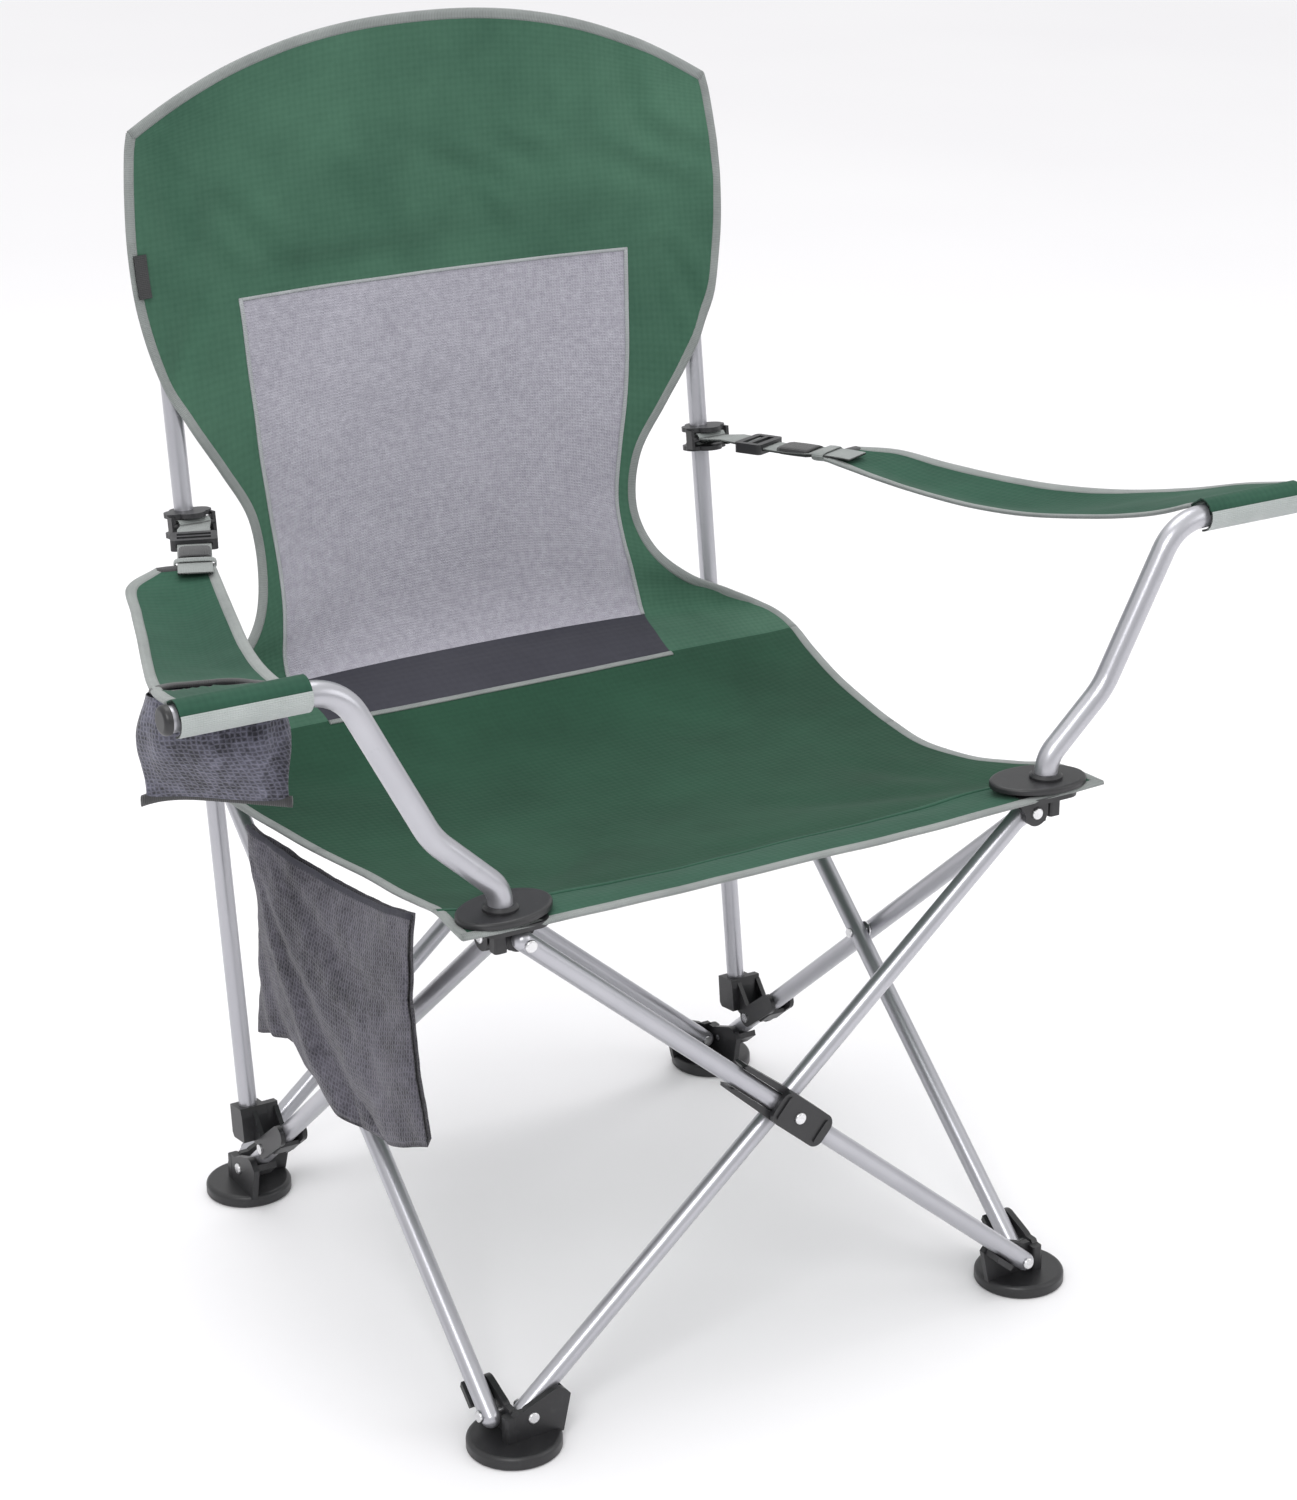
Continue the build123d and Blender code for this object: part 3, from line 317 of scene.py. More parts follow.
def shell(name, points, normals, finish, thick, keep=None, uv=None):
    """A sheet with two faces and a rim from a grid of points in millimetres."""
    n, m = points.shape[:2]
    keep = np.ones((n - 1, m - 1), bool) if keep is None else keep
    if uv is None:
        run = np.concatenate([[0], np.cumsum(np.linalg.norm(np.diff(points[:, m // 2], axis=0), axis=1))])
        side = np.zeros((n, m))
        side[:, 1:] = np.cumsum(np.linalg.norm(np.diff(points, axis=1), axis=2), axis=1)
        uv = np.stack([side - side[:, m // 2][:, None], np.repeat(run[:, None], m, 1)], 2) * MM
    front, back = points + normals * thick / 2, points - normals * thick / 2
    index = np.arange(n * m).reshape(n, m)
    faces, total = [], n * m
    for i in range(n - 1):
        for j in range(m - 1):
            if not keep[i, j]:
                continue
            a, b, c, d = index[i, j], index[i, j + 1], index[i + 1, j + 1], index[i + 1, j]
            faces.append((a, b, c, d))
            faces.append((d + total, c + total, b + total, a + total))
            rims = (((i - 1, j), (b, a)), ((i, j + 1), (c, b)), ((i + 1, j), (d, c)), ((i, j - 1), (a, d)))
            for other, (p, q) in rims:
                inside = 0 <= other[0] < n - 1 and 0 <= other[1] < m - 1 and keep[other]
                if not inside:
                    faces.append((p, q, q + total, p + total))
    used = np.unique(np.array([v for f in faces for v in f]))
    remap = np.zeros(2 * total, int)
    remap[used] = np.arange(len(used))
    verts = place(np.concatenate([front.reshape(-1, 3), back.reshape(-1, 3)]))[used]
    both = np.concatenate([normals.reshape(-1, 3), -normals.reshape(-1, 3)])[used]
    uvs = np.concatenate([uv.reshape(-1, 2)] * 2)[used]
    return new_piece(name, verts, [tuple(int(remap[v]) for v in f) for f in faces], finish, uvs, both)


def rounded(values, power):
    """Powers that keep the sign, which square off a circle's sine and cosine."""
    return np.sign(values) * np.abs(values) ** power


def banded(name, line, outward, normal, finish, width=9.0, thick=3.8, inset=2.6, closed=False, ring=10):
    """Binding folded over an edge: a flat oval section swept along it, in millimetres."""
    n = len(line)
    turn = np.linspace(0, 2 * np.pi, ring, endpoint=False)
    flat, high = rounded(np.cos(turn), 0.75), rounded(np.sin(turn), 0.75)
    centre = line - outward * inset
    verts = (centre[:, None] + outward[:, None] * (flat * width / 2)[None, :, None]
             + normal[:, None] * (high * thick / 2)[None, :, None])
    run = np.concatenate([[0], np.cumsum(np.linalg.norm(np.diff(line, axis=0), axis=1))])
    uvs = np.stack([np.repeat((turn * width / 4)[None], n, 0), np.repeat(run[:, None], ring, 1)], 2) * MM
    faces = []
    spans = n if closed else n - 1
    for i in range(spans):
        for k in range(ring):
            a, b = i * ring + k, i * ring + (k + 1) % ring
            c, d = ((i + 1) % n) * ring + (k + 1) % ring, ((i + 1) % n) * ring + k
            faces.append((a, d, c, b))
    if not closed:
        faces += [tuple(range(ring)), tuple(reversed(range((n - 1) * ring, n * ring)))]
    made = new_piece(name, place(verts.reshape(-1, 3)), faces, finish, uvs.reshape(-1, 2))
    outward_faces(made)
    return made


def outward_faces(made):
    work = bmesh.new()
    work.from_mesh(made.data)
    bmesh.ops.recalc_face_normals(work, faces=work.faces)
    work.to_mesh(made.data)
    work.free()


def merge_doubles(made):
    work = bmesh.new()
    work.from_mesh(made.data)
    bmesh.ops.remove_doubles(work, verts=work.verts, dist=0.00005)
    work.to_mesh(made.data)
    work.free()


def edge_frame(points, normals, side):
    """Outward directions along one border of a grid; side is 'left', 'right', 'top' or 'front'."""
    if side == "left":
        line, inner, normal = points[:, 0], points[:, 1], normals[:, 0]
    elif side == "right":
        line, inner, normal = points[:, -1], points[:, -2], normals[:, -1]
    elif side == "top":
        line, inner, normal = points[-1], points[-2], normals[-1]
    else:
        line, inner, normal = points[0], points[1], normals[0]
    out = line - inner
    along = np.gradient(line, axis=0)
    along /= np.linalg.norm(along, axis=1, keepdims=True)
    out -= along * np.sum(out * along, axis=1, keepdims=True)
    out /= np.linalg.norm(out, axis=1, keepdims=True)
    return line, out, normal


def on_body(made, body, slot, joint=None, axis=None, anchor=None, share=None):
    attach(made, body)
    if joint:
        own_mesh(made)
    return made


# ---------------------------------------------------------------- the one cloth that makes seat and back
# One row for each line across the cloth, from the front hem to the top of the back, in millimetres:
# the middle's y and z, then the right edge's x, y and z, and the half-width of the sewn-in panels.
CLOTH_ROWS = [
    (-268, 446, 292, -271, 452.6, 190), (-243, 444, 289, -245, 452.6, 190), (-213, 439, 284, -214, 451, 190),
    (-170, 430, 278, -175, 441, 190), (-120, 421, 273, -125, 430, 190), (-60, 413, 270, -62, 423, 190),
    (0, 409, 278, 0, 422, 190), (60, 409, 287, 60, 424, 188), (115, 415, 297, 115, 428, 184),
    (160, 430, 306, 165, 436, 178), (195, 449, 311, 203, 445, 171), (228, 460, 307, 228, 454, 174),
    (262, 467, 291, 240, 464, 179), (279, 491, 262, 247, 479, 179), (288, 521, 226, 256, 497, 176),
    (293, 559, 199, 271, 524, 172), (296, 600, 188, 285, 562, 171), (298, 640, 194, 287, 610, 176),
    (299, 680, 219, 283, 655, 182), (300, 718, 247, 280, 700, 185), (302, 757, 269, 284, 745, 187),
    (304, 799, 281, 290, 795, 189), (306, 850, 285, 296, 845, 190), (309, 900, 283, 301, 890, 190),
    (312, 955, 279, 305, 925, 190), (315, 1017, 275, 307, 943, 190),
]
HEM_ROW, MID_ROW, STRIP_ROW, MESH_ROW, HEAD_ROW = 2, 6, 10, 12, 21
PER_ROW, SIDE_COLS, MID_COLS = 7, 14, 44
LAST_ROW = len(CLOTH_ROWS) - 1


def ridge(a, b, start, end, height, width):
    """One crease: a rounded fold between two places on the cloth, a across and b along."""
    (a0, b0), (a1, b1) = start, end
    length = math.hypot(a1 - a0, b1 - b0)
    ux, uy = (a1 - a0) / length, (b1 - b0) / length
    s = (a - a0) * ux + (b - b0) * uy
    d = -(a - a0) * uy + (b - b0) * ux
    reach = np.clip(s / length, 0, 1)
    off = s - reach * length
    taper = np.sin(np.pi * np.clip((s + width) / (length + 2 * width), 0, 1)) ** 0.7
    return height * taper * np.exp(-(d**2 + off**2) / (2 * width**2))


def lumps(a, b, scale, seed):
    """Soft random unevenness, the same every run."""
    made, draw = np.zeros_like(a), np.random.default_rng(seed)
    for k in range(3):
        for _ in range(6):
            angle, phase = draw.uniform(0, np.pi), draw.uniform(0, 2 * np.pi)
            f = 2**k / scale * draw.uniform(0.8, 1.25)
            made += np.sin((a * np.cos(angle) + b * np.sin(angle)) * 2 * np.pi * f + phase) / 6 / 1.8**k
    return made


def cloth_grid():
    """Points of the whole cloth, before its creases, and the row value of each line of them."""
    rows = np.array(CLOTH_ROWS, float)
    t = np.linspace(0, LAST_ROW, LAST_ROW * PER_ROW + 1)
    line = eased(rows, t)
    half, panel = line[:, 2], np.minimum(line[:, 5], line[:, 2] - 8)
    inner = panel / half
    side = np.linspace(0, 1, SIDE_COLS + 1)[1:]
    mid = np.linspace(-1, 1, MID_COLS + 1)
    panel_share = inner[:, None]
    flank = panel_share + (1 - panel_share) * side[None]
    u = np.concatenate([-flank[:, ::-1], panel_share * mid[None], flank], 1)
    power = np.where(t[:, None] > HEAD_ROW, 2.25, 2.4)
    w = np.abs(u) ** power
    x = u * half[:, None]
    y = line[:, 0][:, None] * (1 - w) + line[:, 3][:, None] * w
    z = line[:, 1][:, None] * (1 - w) + line[:, 4][:, None] * w
    return t, np.stack([x, y, z], 2)


def creased(t, points):
    """Adds the folds that the sewn and stretched cloth shows."""
    normal = grid_normals(points)
    x, z, y = points[..., 0], points[..., 2], points[..., 1]
    rows = np.repeat(t[:, None], points.shape[1], 1)
    back = 1 / (1 + np.exp(-(rows - 14.5) * 2))
    seat = 1 - 1 / (1 + np.exp(-(rows - 10.5) * 2))
    head = 1 / (1 + np.exp(-(rows - 20.6) * 3))
    lift = 1.6 * lumps(x, z, 240, 3) * back + 1.5 * lumps(x, y, 260, 5) * seat
    folds = [
        ((-15, 905), (70, 868), 5.0, 9), ((55, 905), (120, 880), 4.0, 8),
        ((35, 862), (60, 835), 4.0, 8), ((-200, 880), (-150, 822), 5.0, 10),
        ((-215, 850), (-185, 812), 4.0, 8), ((-255, 930), (-232, 830), 3.5, 9),
        ((185, 985), (215, 880), 4.5, 11), ((150, 890), (262, 842), 5.0, 9),
        ((205, 905), (268, 872), 3.5, 8), ((-240, 812), (250, 836), 3.0, 14),
        ((-180, 818), (-30, 822), 3.5, 8), ((225, 800), (262, 722), 4.0, 9),
        ((-225, 790), (-262, 720), 4.0, 9), ((-120, 915), (-60, 850), 3.0, 12),
        ((215, 770), (240, 690), 3.0, 8),
    ]
    for start, end, height, width in folds:
        lift -= ridge(x, z, start, end, height, width) * np.clip(back + head, 0, 1)
        shifted = (start[0] + width * 1.6, start[1] + width), (end[0] + width * 1.6, end[1] + width)
        lift += ridge(x, z, *shifted, height * 0.6, width) * back
    pulls = [
        ((-262, -232), (-60, -80), 4.0, 16), ((262, -232), (70, -90), 4.0, 16),
        ((-250, -238), (-190, -40), 3.0, 14), ((250, -238), (190, -40), 3.0, 14),
        ((290, 190), (120, 80), 3.5, 16), ((-290, 190), (-120, 80), 3.5, 16),
        ((-230, -232), (40, -190), 3.0, 12), ((230, -232), (-40, -190), 3.0, 12),
    ]
    for start, end, height, width in pulls:
        lift -= ridge(x, y, start, end, height, width) * seat
    return points + normal * lift[..., None]


def build_cloth():
    """The creased cloth, cut into the pieces that are sewn together."""
    t, points = cloth_grid()
    points = creased(t, points)
    normals = grid_normals(points)
    cols = points.shape[1] - 1
    side_face = np.zeros(cols, bool)
    side_face[:SIDE_COLS] = side_face[-SIDE_COLS:] = True
    run = np.concatenate([[0], np.cumsum(np.linalg.norm(np.diff(points[:, cols // 2], axis=0), axis=1))])
    uv = np.stack([points[..., 0], np.repeat(run[:, None], cols + 1, 1)], 2) * MM

    def part(name, first, last, finish, thick, cut=None):
        a, b = first * PER_ROW, last * PER_ROW
        rows = np.arange(a, b)
        keep = None
        if cut == "middle":
            keep = np.repeat(~side_face[None], b - a, 0)
        elif cut == "sides":
            keep = side_face[None] | (rows[:, None] >= HEAD_ROW * PER_ROW)
        return shell(name, points[a:b + 1], normals[a:b + 1], finish, thick, keep, uv[a:b + 1])

    pieces = {
        "seat_hem_cloth": part("seat_hem_cloth", 0, HEM_ROW, SHADED_HEM_GREEN, 2.6),
        "seat_front_cloth": part("seat_front_cloth", HEM_ROW, MID_ROW, SHADED_SEAT_GREEN, 2.2),
        "seat_rear_cloth": part("seat_rear_cloth", MID_ROW, STRIP_ROW, SHADED_SEAT_GREEN, 2.2),
        "back_green_cloth": part("back_green_cloth", STRIP_ROW, LAST_ROW, BACK_GREEN, 2.2, "sides"),
        "lumbar_cloth": part("lumbar_cloth", STRIP_ROW, MESH_ROW, GREY_STRIP, 2.4, "middle"),
        "mesh_cloth": part("mesh_cloth", MESH_ROW, HEAD_ROW, LILAC_MESH, 1.8, "middle"),
    }
    return t, points, normals, pieces


t_rows, cloth, cloth_normals, cloth_pieces = build_cloth()

# How much of its width the cloth keeps when the chair is folded, measured from the left post.
WIDTH_KEPT = 0.253
SQUASH_X = dict(joint="fold", axis=(1, 0, 0), anchor=(-POST_X, 0, 0), share=WIDTH_KEPT)


def border(name, side, first, last, body):
    """Binding along the cloth's outer edge between two rows."""
    a, b = first * PER_ROW, last * PER_ROW + 1
    line, out, normal = edge_frame(cloth, cloth_normals, side)
    made = banded(name, line[a:b], out[a:b], normal[a:b], TAPE)
    return on_body(made, body, "webbing", **SQUASH_X)


def across(name, row, body, finish, first=0, last=None, lift=1.6, **sizes):
    """Tape or a seam that runs across the cloth at one row."""
    i = row * PER_ROW
    cols = slice(first, last)
    line = cloth[i, cols] + cloth_normals[i, cols] * lift
    out = cloth[i, cols] - cloth[max(i - 1, 0), cols] if i else cloth[0, cols] - cloth[1, cols]
    out = out / np.linalg.norm(out, axis=1, keepdims=True)
    made = banded(name, line, out, cloth_normals[i, cols], finish, **sizes)
    return on_body(made, body, "webbing", **SQUASH_X)


MID_FIRST, MID_LAST = SIDE_COLS, SIDE_COLS + MID_COLS + 1
hem_parts = [border("hem_edge_tape_left", "left", 0, HEM_ROW, "hub_left"),
             border("hem_edge_tape_right", "right", 0, HEM_ROW, "hub_left"),
             across("hem_front_tape", 0, "hub_left", TAPE, lift=0.0, width=9.5, thick=4.2, inset=2.5),
             across("hem_seam", HEM_ROW, "hub_left", SHADED_HEM_GREEN, lift=1.4, width=5.0, thick=2.2, inset=2.5)]
front_parts = [border("seat_front_edge_tape_left", "left", HEM_ROW, MID_ROW, "seat_front"),
               border("seat_front_edge_tape_right", "right", HEM_ROW, MID_ROW, "seat_front")]
rear_parts = [border("seat_rear_edge_tape_left", "left", MID_ROW, STRIP_ROW, "seat_rear"),
              border("seat_rear_edge_tape_right", "right", MID_ROW, STRIP_ROW, "seat_rear"),
              across("strip_seam_tape", STRIP_ROW, "seat_rear", TAPE, MID_FIRST, MID_LAST,
                     width=5.0, thick=2.2, inset=2.5)]
back_parts = [border("back_edge_tape_left", "left", STRIP_ROW, LAST_ROW, "post_left"),
              border("back_edge_tape_right", "right", STRIP_ROW, LAST_ROW, "post_left")]
line, out, normal = edge_frame(cloth, cloth_normals, "top")
top_tape = banded("back_top_tape", line, out, normal, TAPE, width=9.5, thick=4.4, inset=3.0)
back_parts.append(on_body(top_tape, "post_left", "webbing", **SQUASH_X))


def panel_edge(name, col, first, last):
    """The pale turned edge where the mesh is sewn to the green cloth."""
    a, b = first * PER_ROW, last * PER_ROW + 1
    line = cloth[a:b, col] + cloth_normals[a:b, col] * 1.3
    out = cloth[a:b, col] - cloth[a:b, col + (1 if col < cloth.shape[1] // 2 else -1)]
    out /= np.linalg.norm(out, axis=1, keepdims=True)
    made = banded(name, line, out, cloth_normals[a:b, col], MESH_RIM, width=4.0, thick=1.8, inset=1.5)
    return on_body(made, "post_left", "light_mesh", **SQUASH_X)


mesh_parts = [panel_edge("mesh_edge_left", MID_FIRST, MESH_ROW, HEAD_ROW),
              panel_edge("mesh_edge_right", MID_LAST - 1, MESH_ROW, HEAD_ROW),
              across("mesh_top_seam", HEAD_ROW, "post_left", MESH_RIM, MID_FIRST, MID_LAST,
                     lift=1.3, width=3.0, thick=1.6, inset=1.0)]

# For each cloth: the body it rides, its slot, the node it stands for, its flat size in metres, its bindings.
PIECE_PLAN = {
    "seat_hem_cloth": ("hub_left", "seat_fabric", ["seat_hem"], (0.59, 0.062), hem_parts),
    "seat_front_cloth": ("seat_front", "seat_fabric", ["seat_front"], (0.57, 0.235), front_parts),
    "seat_rear_cloth": ("seat_rear", "seat_fabric", ["seat_rear"], (0.62, 0.215), rear_parts),
    "back_green_cloth": ("post_left", "back_fabric", ["back_panel"], (0.62, 0.66), back_parts),
    "lumbar_cloth": ("post_left", "grey_fabric", ["lumbar_strip"], (0.36, 0.075), []),
    "mesh_cloth": ("post_left", "light_mesh", ["back_mesh"], (0.38, 0.35), mesh_parts),
}
for name, (body, slot, nodes, flat, extra) in PIECE_PLAN.items():
    piece = cloth_pieces[name]
    on_body(piece, body, slot, **SQUASH_X)
    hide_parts(*nodes)


def side_tab():
    """The small black tab sewn to the back's left edge."""
    rows = [i for i, t in enumerate(t_rows) if 21.2 <= t <= 22.0]
    line = cloth[rows, 0]
    inward = cloth[rows, 2] - cloth[rows, 0]
    inward /= np.linalg.norm(inward, axis=1, keepdims=True)
    facing = cloth_normals[rows, 1]
    steps = np.linspace(1.5, 13.0, 6)
    grid = np.stack([line + inward * a + facing * (2.8 + 1.4 * math.sin(a * 0.2)) for a in steps], 1)
    made = shell("side_tab", grid, np.repeat(facing[:, None], 6, 1), BLACK_TAPE, 1.4)
    on_body(made, "post_left", "webbing", **SQUASH_X)


side_tab()


# ---------------------------------------------------------------- sleeves behind the posts
def post_sleeve(side):
    """The tunnel of cloth that a back post sits in."""
    rows = [i for i, t in enumerate(t_rows) if 19.2 <= t <= 23.9]
    section = []
    edge_col, inner_col = (-3, 4 - SIDE_COLS) if side > 0 else (2, SIDE_COLS - 5)
    for i in rows:
        edge, inside = cloth[i, edge_col], cloth[i, inner_col]
        x_in, x_out = side * inside[0], side * edge[0]
        depth = float(post_y(edge[2])) + 12.5 - 0.5 * (edge[1] + inside[1])
        row = []
        for s in np.linspace(0, 1, 17):
            x = x_out + (x_in - x_out) * s
            hump = math.sin(math.pi * s) ** 0.42
            wave = 1.2 * math.sin(edge[2] * 0.11 + s * 3)
            y = edge[1] * (1 - s) + inside[1] * s + 1.5 + hump * (depth + wave)
            z = edge[2] * (1 - s) + inside[2] * s
            row.append((side * x, y, z))
        section.append(row)
    points = np.array(section)
    facing = grid_normals(points)
    if np.mean(facing[..., 1]) < 0:
        facing = -facing
        points, facing = points[:, ::-1], facing[:, ::-1]
    made = shell("post_sleeve_" + ("right" if side > 0 else "left"), points, facing, BACK_GREEN, 1.8)
    on_body(made, "post_left", "back_fabric", **SQUASH_X)


for side in (-1, 1):
    post_sleeve(side)


# ---------------------------------------------------------------- arm rests
BAR = centre_of("arm_cap_right") / MM                     # the cap closes the bar that the cloth wraps round
BAR_Y, BAR_Z = BAR.y - SHIFT_Y, BAR.z
ARM_TUBE_R = 9.5
# From the rear edge to the bar: inner edge x, y; outer edge x, y; height; how far the middle hangs; how far
# the inner edge does.
ARM_ROWS = [
    (294, 138, 338, 150, 625, 0, 0), (301, 112, 371, 128, 622, 3, 0), (312, 72, 389, 78, 619, 6, 1),
    (325, 26, 408, 22, 618, 8, 3), (339, -22, 428, -34, 620, 9, 6), (354, -76, 449, -92, 627, 8, 9),
    (371, -136, 470, -152, 640, 5, 11), (388, -196, 487, -202, 654, 1, 10),
    (398, -238, 496, -241, 663, 0, 4),
]
ARM_PER_ROW, ARM_COLS = 10, 30
CUP_X, CUP_Y = 431.0, -166.0
CUP_RX, CUP_RY = 39.0, 35.0
# How an arm rest shortens in a fold: along y, from a place behind its rear edge, to this share of itself.
ARM_SQUASH = ("fold", (0, 1, 0), (0, ARM_ROWS[0][1] + 127, 0), 0.467)


def arm_surface(t, w):
    """The arm rest's cloth at t along ARM_ROWS and at w across, from -1 inside to 1 outside."""
    rows = eased(ARM_ROWS, t)
    share = (w + 1) / 2
    x = rows[..., 0] * (1 - share) + rows[..., 2] * share
    y = rows[..., 1] * (1 - share) + rows[..., 3] * share
    hang = rows[..., 5] * (1 - w**2)
    return np.stack([x, y, rows[..., 4] - hang - rows[..., 6] * (1 - share) ** 2], -1)


def arm_grid():
    """The right arm rest's cloth, from its rear edge over the bar."""
    steps = (len(ARM_ROWS) - 1) * ARM_PER_ROW
    along, wide = np.linspace(0, len(ARM_ROWS) - 1, steps + 1), np.linspace(-1, 1, ARM_COLS + 1)
    t, w = np.meshgrid(along, wide, indexing="ij")
    points = arm_surface(t, w)
    x, y = points[..., 0], points[..., 1]
    points[..., 2] += 1.2 * lumps(x, y, 130, 11) * np.minimum(1, (1 - np.abs(w)) * 3)
    points[..., 2] -= ridge(x, y, (330, 110), (390, -60), 3.0, 10)
    points[..., 2] -= ridge(x, y, (400, -220), (372, -60), 3.0, 9)
    return np.concatenate([points, round_bar(points[-1], np.linspace(68, 168, 9)[1:], 2.6)], 0)


def round_bar(edge, degrees, clear):
    """The cloth's edge carried round the arm tube's bar, from 90 on top to 180 in front."""
    rows = []
    for angle in np.radians(degrees):
        row = edge.copy()
        row[:, 1] = BAR_Y + (ARM_TUBE_R + clear) * math.cos(angle)
        row[:, 2] = BAR_Z + (ARM_TUBE_R + clear) * math.sin(angle)
        rows.append(row)
    return np.array(rows)


def arm_rest(side):
    """The arm rest's cloth and its bindings; the left one has the cup hole."""
    label = "right" if side > 0 else "left"
    points = arm_grid()
    if side < 0:
        points = points[:, ::-1] * np.array([-1, 1, 1])
    facing = grid_normals(points)
    if facing[..., 2].mean() < 0:
        facing = -facing
        points, facing = points[:, ::-1], facing[:, ::-1]
    keep = np.ones((points.shape[0] - 1, points.shape[1] - 1), bool)
    if side < 0:
        centre = (points[:-1, :-1] + points[1:, 1:]) / 2
        keep = (((centre[..., 0] + CUP_X) / CUP_RX) ** 2 + ((centre[..., 1] - CUP_Y) / CUP_RY) ** 2) > 1
    made = shell("arm_cloth_" + label, points, facing, SHADED_ARM_GREEN, 2.2, keep)
    if side < 0:
        smooth_hole(made)
    tapes = []
    for edge in ("left", "right"):
        line, out, normal = edge_frame(points, facing, edge)
        cut = (len(ARM_ROWS) - 1) * ARM_PER_ROW + 1
        tapes.append(banded(f"arm_tape_{label}_{edge}", line[:cut], out[:cut], normal[:cut], TAPE,
                            width=9.5, thick=4.0, inset=3.0))
    line, out, normal = edge_frame(points, facing, "front")
    tapes.append(banded("arm_rear_tape_" + label, line, out, normal, BLACK_TAPE,
                        width=10.0, thick=4.6, inset=3.0))
    wrap = round_bar(points[-1], np.linspace(158, 262, 12), 3.8)
    facing_bar = grid_normals(wrap)
    if facing_bar[0, 0, 1] > 0:
        facing_bar = -facing_bar
        wrap, facing_bar = wrap[:, ::-1], facing_bar[:, ::-1]
    tapes.append(shell("arm_front_tape_" + label, wrap, facing_bar, PALE_TAPE, 1.6))
    for piece in [made] + tapes:
        on_body(piece, "arm_" + label, "webbing" if piece is not made else "back_fabric", *ARM_SQUASH)
    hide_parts("arm_rest_" + label)
    return points


def smooth_hole(made):
    """Rounds the stepped edge of the cup hole onto its ellipse."""
    cx, cy = -CUP_X * MM, (CUP_Y + SHIFT_Y) * MM
    for vertex in made.data.vertices:
        dx, dy = (vertex.co.x - cx) / (CUP_RX * MM), (vertex.co.y - cy) / (CUP_RY * MM)
        reach = math.hypot(dx, dy)
        if 0.86 < reach < 1.14:
            vertex.co.x, vertex.co.y = cx + dx / reach * CUP_RX * MM, cy + dy / reach * CUP_RY * MM


arm_points = {side: arm_rest(side) for side in (-1, 1)}


def hole_tape():
    """Binding round the cup hole."""
    turn = np.linspace(0, 2 * np.pi, 64, endpoint=False)
    flat = arm_points[-1].reshape(-1, 3)
    line = []
    for angle in turn:
        x, y = -CUP_X + CUP_RX * math.cos(angle), CUP_Y + CUP_RY * math.sin(angle)
        near = np.argsort((flat[:, 0] - x) ** 2 + (flat[:, 1] - y) ** 2)[:4]
        line.append((x, y, flat[near, 2].mean()))
    line = np.array(line)
    line[:, 2] = (line[:, 2] + np.roll(line[:, 2], 1) + np.roll(line[:, 2], -1)) / 3
    inward = np.stack([-np.cos(turn), -np.sin(turn), np.zeros_like(turn)], 1)
    up = np.repeat([[0.0, 0.0, 1.0]], len(turn), 0)
    made = banded("cup_hole_tape", line, inward, up, BLACK_TAPE,
                  width=7.0, thick=4.0, inset=2.0, closed=True)
    return made, line


hole_ring, hole_line = hole_tape()
on_body(hole_ring, "arm_left", "webbing", *ARM_SQUASH)


# ---------------------------------------------------------------- net cup
# The cup's round mouth closes to a straight hem below: which way that runs, its height and half its length.
HEM_DIR = np.array([0.72, -0.69])
CUP_LOW_Z, CUP_HEM_HALF = 556.0, 54.0


